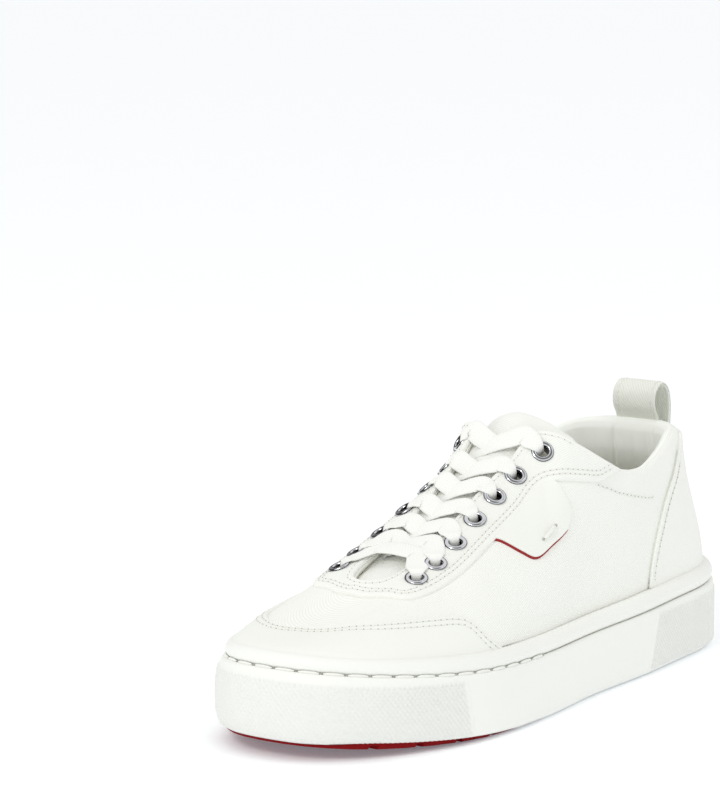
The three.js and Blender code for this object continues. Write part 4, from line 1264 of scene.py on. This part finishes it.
def make_tongue_patch(finishes):
    rows, columns = 34, 30
    share = ends_clustered(rows)[:, None] * np.ones(columns)
    across = (ends_clustered(columns) * 2 - 1)[None, :] * np.ones((rows, 1))
    along = mix(0.5, 0.66, share)
    corner = np.clip((np.abs(2 * share - 1) - 0.7) / 0.3, 0, 1)
    across = across * (0.3 - 0.03 * corner ** 2)
    edge = np.minimum(np.minimum(share, 1 - share) * 11, (0.3 - np.abs(across)) * 22)
    lift = 0.35 + rounded_edge(edge, 0.95, 0.7) - 0.2 * np.exp(-((edge - 1.3) / 0.4) ** 2)
    outer = tongue_point(along, across, -lift)
    inner = tongue_point(along, across, 0.4)
    parts = MeshParts()
    add_shell(parts, outer, inner)
    return parts.build("tongue_patch_leather", finishes)


LACE_WIDTH = 9.4
LACE_THICKNESS = 1.25
LACE_SEAT = 2.35
LACE_AT_EYELET = 4.3
LACE_SLANT = 0.42


def flap_frame(index, side, slant=0.0):
    """An eyelet's place, the flap's edge where its lace crosses it and the directions there."""
    turn, height = eyelet_place(index, side)
    centre = bare_skin(turn, height)
    edge_turn = turn + side * slant * EYELET_STEP
    edge = bare_skin(edge_turn, 1.0)
    return centre, skin_normal(turn, height), unit(edge - centre), edge, skin_normal(edge_turn, 1.0)


def tongue_surface():
    along, across = np.meshgrid(np.linspace(0, 1, 240), np.linspace(-1, 1, 90), indexing="ij")
    points = tongue_point(along, across, 0.0)
    normal = unit(points - tongue_point(along, across, 1.0))
    return points.reshape(-1, 3), normal.reshape(-1, 3)


def rest_on(points, surface, normals, clearance):
    """Lifts the points of a path that would sink into a surface."""
    nearest = ((points[:, None] - surface[None]) ** 2).sum(-1).argmin(1)
    gap = ((points - surface[nearest]) * normals[nearest]).sum(-1)
    lift = np.maximum(clearance - gap, 0)
    reach = np.hanning(15) / np.hanning(15).sum()
    lift = np.convolve(np.pad(lift, 7, mode="edge"), reach, mode="valid")
    return points + normals[nearest] * lift[:, None]


def lace_over(frame_of_flap):
    """The points, directions and widths of a lace from inside its eyelet to the flap's edge."""
    centre, normal, inward, edge, edge_normal = frame_of_flap
    points = [
        centre - normal * 2.6 + inward * 0.9,
        centre + normal * 0.8 + inward * 1.3,
        centre + normal * 2.4 + inward * 2.4,
        centre + normal * 2.95 + inward * 4.4,
        centre + normal * 2.45 + inward * 6.6,
        edge + edge_normal * (LACE_SEAT - 0.1) + inward * 0.6,
    ]
    ups = [-inward, -inward, normal - inward, normal, normal, edge_normal]
    widths = [*[LACE_AT_EYELET] * 2, LACE_AT_EYELET + 1.1, LACE_WIDTH - 2.0, LACE_WIDTH - 0.3, LACE_WIDTH]
    return points, ups, widths


def lace_under(frame_of_flap):
    """The same for a lace that comes out from under the flap."""
    centre, normal, inward, edge, edge_normal = frame_of_flap
    points = [
        mix(edge, centre, 0.75) - normal * (UPPER_WALL + 1.0),
        edge - edge_normal * (UPPER_WALL + 0.9) - inward * 1.6,
    ]
    return points, [edge_normal, edge_normal], [LACE_WIDTH, LACE_WIDTH]


def add_lace(parts, start, end, hump, surface):
    first, first_ups, first_widths = start
    last, last_ups, last_widths = end
    crossing, ups = [], []
    for share in (0.25, 0.5, 0.75):
        up = unit(mix(first_ups[-1], last_ups[-1], share))
        crossing.append(mix(first[-1], last[-1], share) + up * hump * math.sin(math.pi * share))
        ups.append(up)
    points = np.array([*first, *crossing, *last[::-1]])
    widths = np.array([*first_widths, *([LACE_WIDTH] * 3), *last_widths[::-1]])
    directions = np.array([*first_ups, *ups, *last_ups[::-1]])
    path = smooth_path(np.column_stack([points, directions, widths]), 64)
    centre = path[:, :3]
    middle = slice(20, -6)
    centre[middle] = rest_on(centre[middle], *surface, LACE_THICKNESS / 2 + 0.3)
    add_tube(parts, ribbon_sections(centre, unit(path[:, 3:6]), path[:, 6], LACE_THICKNESS, 16))


def make_laces(finishes):
    parts = MeshParts()
    surface = tongue_surface()
    add_lace(parts, lace_over(flap_frame(0, 1, 0.5)), lace_over(flap_frame(0, -1, 0.5)), 1.2, surface)
    for index in range(1, EYELETS_PER_SIDE):
        for side, hump in ((-1, 0.2), (1, 1.5)):
            start = lace_over(flap_frame(index, side, LACE_SLANT))
            end = lace_under(flap_frame(index - 1, -side, -0.1))
            add_lace(parts, start, end, hump, surface)
    return parts.build("flat_laces", finishes)


LOOP_CLEARANCE = 0.35
LOOP_ARCH = [
    # share of the loop's height, way forward
    (0.3, -0.4), (0.74, 1.0), (0.97, 4.4), (0.98, 8.2), (0.75, 11.8), (0.4, 12.0), (0.12, 9.6),
]


def skin_at_side(across, height, offset_at):
    """The skin's points at given distances from the middle of the heel."""
    low, high = np.zeros(len(across)), np.full(len(across), 0.1)
    for _ in range(24):
        middle = (low + high) / 2
        inside = skin(middle, height, offset_at(middle, height))[:, 1] < np.abs(across)
        low, high = np.where(inside, middle, low), np.where(inside, high, middle)
    points = skin(low, height, offset_at(low, height))
    points[:, 1] = across
    return points


def make_pull_loop(finishes):
    columns, rows = 41, 120
    across = LOOP_WIDTH * (ends_clustered(columns) - 0.5)
    stand = LOOP_CLEARANCE + LOOP_STRAP / 2
    rear = [skin_at_side(across, height, lambda turn, at: OVERLAY_TOP + stand + 0 * turn)
            for height in (0.745, 0.79, 0.84, 0.89, 0.94)]
    front = [skin_at_side(across, height, lambda turn, at: -0.62 * wall_at(turn, 1.0))
             for height in (1.0, 0.97)]
    top = COLLAR_HEIGHT + LOOP_HEIGHT
    back = rear[-1][:, :1]
    arch = []
    for level, forward in LOOP_ARCH:
        x = back + forward
        z = mix(COLLAR_HEIGHT, top, level)
        arch.append(np.concatenate([x, across[:, None], np.full_like(x, z)], 1))
    knots = np.stack([*rear, *arch, *front], 1)
    paths = np.stack([smooth_path(knots[column], rows) for column in range(columns)], 1)
    along = unit(np.gradient(paths, axis=0))
    out = unit(np.cross(np.array([0.0, 1.0, 0.0]), along))
    edge = np.clip((LOOP_WIDTH / 2 - np.abs(across)) / 0.9, 0, 1)
    half = LOOP_STRAP / 2 * np.sqrt(1 - (1 - edge) ** 2) + 0.02
    stitched = -0.22 * np.exp(-((LOOP_WIDTH / 2 - np.abs(across) - 2.4) / 0.45) ** 2)
    parts = MeshParts()
    face = (half + stitched)[None, :, None]
    add_shell(parts, paths + out * face, paths - out * face)
    strap = parts.build("pull_strap", finishes[:1])
    threads = MeshParts()
    lengths = arc_lengths(paths[:, columns // 2], 0)
    places = np.arange(1.6, lengths[-1] - 1, STITCH_PITCH)
    for edge_at in (2.4, LOOP_WIDTH - 2.4):
        column = int(np.argmin(np.abs(across + LOOP_WIDTH / 2 - edge_at)))
        for sign in (1, -1):
            line = paths[:, column] + out[:, column] * sign * (LOOP_STRAP / 2 - 0.12)
            centre = read_along(places, lengths, line)
            direction = unit(read_along(places, lengths, along[:, column]))
            normal = unit(read_along(places, lengths, sign * out[:, column]))
            add_stitches(threads, centre, direction, normal, STITCH_LENGTH, STITCH_THICKNESS)
    return strap, threads.build("strap_stitches", finishes[1:])


# Metal

VENT_SEAT = 0.05
RING_PROFILE = [
    # radius, height over the seat
    (2.5, -4.2), (2.95, -4.3), (3.0, -0.3), (4.55, -0.15), (4.75, 0.12), (4.7, 0.42), (4.45, 0.68),
    (4.05, 0.84), (3.55, 0.9), (3.1, 0.82), (2.75, 0.62), (2.55, 0.3), (2.5, -0.4),
]


def add_ring(parts, turn, height, seat, sides=56):
    normal = skin_normal(turn, height)
    centre = skin(turn, height, seat)
    across = unit(np.cross(normal, [0.0, 0.0, 1.0]))
    up = np.cross(normal, across)
    angle = np.arange(sides) * 2 * np.pi / sides
    spoke = across[None] * np.cos(angle)[:, None] + up[None] * np.sin(angle)[:, None]
    rows = [centre + spoke * radius + normal * rise for radius, rise in RING_PROFILE]
    grid = np.stack(rows)
    points, faces, corners = grid_body(grid, True)
    row = np.arange(len(faces)) // sides
    # The bore's inner wall and its bottom take the dark finish: painted shade in the deep hole.
    painted_shade_faces = (row >= len(RING_PROFILE) - 2) | (row == 0)
    parts.add(points, *turned_outward(points, faces, corners), painted_shade_faces.astype(int))


def make_ring(name, place, seat, finishes):
    parts = MeshParts()
    add_ring(parts, *place, seat)
    return parts.build(name, finishes)


# Seams

STITCH_LENGTH = 2.15
STITCH_PITCH = 2.8
STITCH_THICKNESS = 0.46
NEEDLE_HOLE = 0.42
COLLAR_SEAM = Table("height", [
    (0.1656, 0.688), (0.1851, 0.763), (0.2017, 0.803), (0.213, 0.808), (0.2233, 0.796),
])


def add_seam(parts, turns, heights, offset, inward=0.0, flip=1):
    if inward:
        turns, heights = inner_line(turns, heights, inward, flip)
    place, direction, normal = even_path(turns, heights, offset, STITCH_PITCH)
    add_stitches(parts, place, direction, normal, STITCH_LENGTH, STITCH_THICKNESS)
    # Grey beads halfway between stitches: painted shade of the needle holes.
    holes = place + direction * STITCH_PITCH / 2
    add_stitches(parts, holes, direction, normal, 1.3 * NEEDLE_HOLE, NEEDLE_HOLE, 1)


def make_upper_stitches(finishes):
    parts = MeshParts()
    cap = np.linspace(CAP_SPAN + 0.006, 1 - CAP_SPAN - 0.006, 300)
    for inward in CAP_STITCHES:
        add_seam(parts, cap, cap_edge(cap), OVERLAY_TOP - 0.1, inward, 1)
    stay = np.linspace(STAY_SPAN + 0.004, 1 - STAY_SPAN - 0.004, 500)
    for inward in STAY_STITCHES:
        add_seam(parts, stay, STAY_EDGE(both_sides(stay)), OVERLAY_TOP - 0.1, inward, -1)
    throat = np.linspace(STAY_SPAN + 0.03, 1 - STAY_SPAN - 0.03, 400)
    add_seam(parts, throat, np.full(400, 1.0), OVERLAY_TOP - 0.1, 2.2, 1)
    for side in (1, -1):
        heel = np.linspace(0.122, HEEL_SPAN - 0.001, 120)
        add_seam(parts, side * heel, HEEL_EDGE(heel), OVERLAY_TOP - 0.1, 2.6, side)
        collar = np.linspace(0.1656, 0.2233, 80)
        add_seam(parts, side * collar, COLLAR_SEAM(collar), 0.12)
    return parts.build("upper_stitches", finishes)


# Stage and camera

CAMERA_PLACE = (1330.3, 836.8, 341.5)
CAMERA_TARGET = (180.86, -40.44, 120.5)
CAMERA_LENS = 158.56
WORLD_COLOR = (1.0, 1.0, 1.0)
WORLD_STRENGTH = 0.84
LIGHT_TARGET = (0, 0, 0.05)
LIGHTS = [
    # name, place, size, power, colour
    ("key", (1.7, 0.1, 1.4), 0.5, 9, (1.0, 1.0, 0.98)),
    ("side", (-0.2, 1.3, 2.2), 0.7, 3.5, (0.98, 0.99, 1.0)),
]
FLOOR_GLOW = (0.82, 0.91, 1.0)
FLOOR_GLOW_STRENGTH = 0.18


def area_light(name, place, size, power, color):
    data = bpy.data.lights.new(name, "AREA")
    data.shape = "SQUARE"
    data.size = size
    data.energy = power
    data.color = color
    light = bpy.data.objects.new(name, data)
    light.location = place
    aim(light, LIGHT_TARGET)
    bpy.context.scene.collection.objects.link(light)


def aim(thing, target):
    direction = Vector(target) - Vector(thing.location)
    thing.rotation_euler = direction.to_track_quat("-Z", "Y").to_euler()


def make_camera():
    data = bpy.data.cameras.new("camera")
    data.lens = CAMERA_LENS
    data.sensor_width = 36
    data.clip_end = 100
    camera = bpy.data.objects.new("camera", data)
    camera.location = frame_coords([CAMERA_PLACE])[0]
    aim(camera, frame_coords([CAMERA_TARGET])[0])
    bpy.context.scene.collection.objects.link(camera)
    bpy.context.scene.camera = camera


def make_floor(material):
    size = 12.0
    points = np.array([[-size, -size, 0], [size, -size, 0], [size, size, 0], [-size, size, 0]], float)
    floor = make_mesh("floor", points, np.array([[0, 1, 2, 3]]), np.zeros((1, 4, 2)), [0], [material], False)


def make_world(strength, color):
    world = bpy.data.worlds.new("studio")
    world.use_nodes = True
    background = world.node_tree.nodes["Background"]
    background.inputs["Color"].default_value = (*color, 1)
    background.inputs["Strength"].default_value = strength
    bpy.context.scene.world = world


# Settings that a user would change

def linear(red, green, blue):
    """A screen colour from 0 to 255 as the renderer's own."""
    shares = np.array([red, green, blue]) / 255
    values = np.where(shares <= 0.04045, shares / 12.92, ((shares + 0.055) / 1.055) ** 2.4)
    return tuple(float(value) for value in values)


def color_setting(name, description, screen):
    return bpy.props.FloatVectorProperty(
        name=name, description=description, subtype="COLOR", size=3, min=0, max=1, default=linear(*screen))


class SneakerColors(bpy.types.PropertyGroup):
    canvas: color_setting("Canvas", "Colour of the vamp, quarters, eyestay and tongue", (251, 252, 246))
    leather: color_setting("Leather", "Colour of the toe cap, tab and patch", (242, 244, 237))
    lining: color_setting("Collar lining", "Colour of the padded collar", (251, 253, 247))
    cloth: color_setting("Inner cloth", "Colour of the inner lining and insole", (236, 233, 222))
    rubber: color_setting("Sidewall", "Colour of the cup sole and welt", (243, 244, 239))
    outsole: color_setting("Outsole", "Colour of the tread rubber", (130, 10, 16))
    strap: color_setting("Pull loop", "Colour of the heel's strap", (240, 242, 233))
    lace: color_setting("Laces", "Colour of the laces", (248, 249, 244))
    thread: color_setting("Thread", "Colour of the stitches", (247, 248, 242))
    backing: color_setting("Tab backing", "Colour of the layer under the side tab", (150, 16, 22))
    metal: color_setting("Metal", "Colour of the eyelets and vents", (226, 228, 232))


class SneakerSizes(bpy.types.PropertyGroup):
    twill_pitch: bpy.props.FloatProperty(
        name="Twill pitch", description="Distance between the diagonal ribs of the canvas",
        default=0.93 * MILLIMETRE, min=0.0002, precision=5, unit="LENGTH")
    twill_angle: bpy.props.FloatProperty(
        name="Twill slant", description="Slant of the ribs from the shoe's length",
        default=math.radians(22), unit="ROTATION")
    strap_pitch: bpy.props.FloatProperty(
        name="Strap rib pitch", description="Distance between the ribs of the pull loop",
        default=1.15 * MILLIMETRE, min=0.0002, precision=5, unit="LENGTH")


class SneakerSettings(bpy.types.PropertyGroup):
    colors: bpy.props.PointerProperty(type=SneakerColors)
    sizes: bpy.props.PointerProperty(type=SneakerSizes)


def make_finishes(settings):
    colors, sizes = settings.colors, settings.sizes
    pitch = sizes.twill_pitch / MILLIMETRE
    make_canvas("canvas", colors.canvas, pitch, sizes.twill_angle)
    make_canvas("strap_twill", colors.strap, sizes.strap_pitch / MILLIMETRE, math.radians(58), 0.0002)
    make_canvas("inner_cloth", colors.cloth, pitch, 0.0)
    make_leather("smooth_leather", colors.leather)
    make_leather("lining_leather", colors.lining, 0.6, 0.00012)
    make_leather("tab_backing", colors.backing, 0.6)
    make_rubber("sidewall_rubber", colors.rubber)
    make_rubber("outsole_rubber", colors.outsole, 0.7, 0.0001, 0.1)
    make_cotton("lace_cotton", colors.lace)
    make_cotton("thread", colors.thread, 0.4)
    # Grey for the needle holes: painted shade, where the holes would be dark.
    new_finish("needle_hole_painted_shade", linear(178, 177, 168), 0.9)
    make_metal_with_painted_reflections("eyelet_metal", colors.metal)
    # Dark finish for the rings' inner barrels: painted shade inside the holes.
    make_metal_with_painted_reflections("eyelet_bore_painted_shade", linear(70, 68, 64))
    floor = make_rubber("studio_floor", linear(250, 250, 250), 0.9, 0.0)
    shader = floor.node_tree.nodes["Principled BSDF"]
    shader.inputs["Emission Color"].default_value = (*FLOOR_GLOW, 1)
    shader.inputs["Emission Strength"].default_value = FLOOR_GLOW_STRENGTH


# Operators

def place_piece(piece, slot, *nodes):
    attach(piece, "root")
    if nodes:
        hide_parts(*nodes)
    return piece


def threads():
    return [finish_named("thread"), finish_named("needle_hole_painted_shade")]


class PieceOperator:
    bl_options = {"REGISTER", "UNDO"}


class SNEAKER_OT_finishes(PieceOperator, bpy.types.Operator):
    """Makes the finishes of cloth, leather, rubber and metal"""
    bl_idname = "sneaker.finishes"
    bl_label = "Finishes"

    def execute(self, context):
        make_finishes(context.scene.sneaker)
        return {"FINISHED"}


class SNEAKER_OT_sole(PieceOperator, bpy.types.Operator):
    """Dresses the outsole and makes the cup sole, the welt with its stitches and the insole"""
    bl_idname = "sneaker.sole"
    bl_label = "Sole"

    def execute(self, context):
        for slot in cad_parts["outsole"].material_slots:
            slot.material = finish_named("outsole_rubber")
        rubber = [finish_named("sidewall_rubber")]
        place_piece(make_cup_sole(rubber), "sidewall_rubber", "midsole")
        place_piece(make_welt_roll(rubber), "sidewall_rubber", "welt")
        place_piece(make_welt_stitches(threads()), "lace_cotton")
        place_piece(make_insole([finish_named("inner_cloth")]), "insole_cover", "insole")
        return {"FINISHED"}


class SNEAKER_OT_upper(PieceOperator, bpy.types.Operator):
    """Makes the canvas upper with its padded collar, overlays and piping"""
    bl_idname = "sneaker.upper"
    bl_label = "Upper"

    def execute(self, context):
        canvas = finish_named("canvas")
        leather = finish_named("smooth_leather")
        place_piece(make_upper_shell([canvas, finish_named("inner_cloth")]), "canvas", "upper")
        lining = place_piece(make_collar_lining([finish_named("lining_leather")]), "smooth_leather")
        place_piece(make_toe_cap([leather]), "smooth_leather", "toe_cap")
        place_piece(make_eyestay([canvas]), "canvas", "eyestay")
        place_piece(make_heel_panel([canvas]), "canvas", "heel_panel")
        place_piece(make_heel_piping([leather]), "smooth_leather")
        place_piece(make_side_tab([finish_named("tab_backing")], backing=True), "smooth_leather")
        place_piece(make_side_tab([leather]), "smooth_leather", "side_tab")
        place_piece(make_tab_bar(threads()), "lace_cotton")
        return {"FINISHED"}


class SNEAKER_OT_tongue(PieceOperator, bpy.types.Operator):
    """Makes the padded tongue and its patch"""
    bl_idname = "sneaker.tongue"
    bl_label = "Tongue"

    def execute(self, context):
        tongue = make_tongue([finish_named("canvas"), finish_named("lining_leather")])
        place_piece(tongue, "canvas", "tongue")
        place_piece(make_tongue_stitches(threads()), "lace_cotton")
        place_piece(make_tongue_patch([finish_named("smooth_leather")]), "smooth_leather", "tongue_patch")
        return {"FINISHED"}


class SNEAKER_OT_laces(PieceOperator, bpy.types.Operator):
    """Runs the flat laces through the eyelets"""
    bl_idname = "sneaker.laces"
    bl_label = "Laces"

    def execute(self, context):
        place_piece(make_laces([finish_named("lace_cotton")]), "lace_cotton", "laces")
        return {"FINISHED"}


class SNEAKER_OT_metal(PieceOperator, bpy.types.Operator):
    """Makes the eyelets and the two side vents"""
    bl_idname = "sneaker.metal"
    bl_label = "Eyelets and vents"

    def execute(self, context):
        # The second finish is the bores' painted shade.
        metal = [finish_named("eyelet_metal"), finish_named("eyelet_bore_painted_shade")]
        for side, side_name in ((1, "lateral"), (-1, "medial")):
            for index in range(EYELETS_PER_SIDE):
                node_name = f"eyelet_{side_name}_{index + 1}"
                ring_name = f"ring_{side_name}_{index + 1}"
                ring = make_ring(ring_name, eyelet_place(index, side), OVERLAY_TOP, metal)
                place_piece(ring, "eyelet_metal", node_name)
        for node_name, turn, height in VENTS:
            ring = make_ring(f"{node_name}_ring", (turn, height), VENT_SEAT, metal)
            place_piece(ring, "eyelet_metal", node_name)
        return {"FINISHED"}


class SNEAKER_OT_loop(PieceOperator, bpy.types.Operator):
    """Makes the heel's pull loop with its edge stitches"""
    bl_idname = "sneaker.loop"
    bl_label = "Pull loop"

    def execute(self, context):
        strap, stitches = make_pull_loop([finish_named("strap_twill"), finish_named("thread")])
        place_piece(strap, "strap_twill", "pull_loop")
        place_piece(stitches, "lace_cotton")
        return {"FINISHED"}


class SNEAKER_OT_seams(PieceOperator, bpy.types.Operator):
    """Sews the rows of stitches on the upper"""
    bl_idname = "sneaker.seams"
    bl_label = "Stitches"

    def execute(self, context):
        place_piece(make_upper_stitches(threads()), "lace_cotton")
        return {"FINISHED"}


class SNEAKER_OT_stage(PieceOperator, bpy.types.Operator):
    """Sets up the floor, the soft lights and the camera"""
    bl_idname = "sneaker.stage"
    bl_label = "Stage"

    def execute(self, context):
        make_floor(finish_named("studio_floor"))
        make_world(WORLD_STRENGTH, WORLD_COLOR)
        for light in LIGHTS:
            area_light(*light)
        make_camera()
        context.scene.view_settings.view_transform = "Standard"
        return {"FINISHED"}


PIECE_OPERATORS = (
    SNEAKER_OT_finishes, SNEAKER_OT_sole, SNEAKER_OT_upper, SNEAKER_OT_tongue, SNEAKER_OT_laces,
    SNEAKER_OT_metal, SNEAKER_OT_loop, SNEAKER_OT_seams, SNEAKER_OT_stage,
)


class SNEAKER_PT_panel(bpy.types.Panel):
    """Lists the pieces of the sneaker and its settings"""
    bl_idname = "SNEAKER_PT_panel"
    bl_label = "Sneaker"
    bl_space_type = "VIEW_3D"
    bl_region_type = "UI"
    bl_category = "Sneaker"

    def draw(self, context):
        settings = context.scene.sneaker
        for group in (settings.colors, settings.sizes):
            for key in group.bl_rna.properties.keys():
                if key not in ("rna_type", "name"):
                    self.layout.prop(group, key)
        for operator in PIECE_OPERATORS:
            self.layout.operator(operator.bl_idname)


CLASSES = (SneakerColors, SneakerSizes, SneakerSettings, *PIECE_OPERATORS, SNEAKER_PT_panel)


def register():
    for made in CLASSES:
        bpy.utils.register_class(made)
    bpy.types.Scene.sneaker = bpy.props.PointerProperty(type=SneakerSettings)


def unregister():
    del bpy.types.Scene.sneaker
    for made in reversed(CLASSES):
        bpy.utils.unregister_class(made)


def main():
    register()
    bpy.ops.sneaker.finishes()
    bpy.ops.sneaker.sole()
    bpy.ops.sneaker.upper()
    bpy.ops.sneaker.tongue()
    bpy.ops.sneaker.laces()
    bpy.ops.sneaker.metal()
    bpy.ops.sneaker.loop()
    bpy.ops.sneaker.seams()
    bpy.ops.sneaker.stage()


if __name__ == "__main__":
    main()
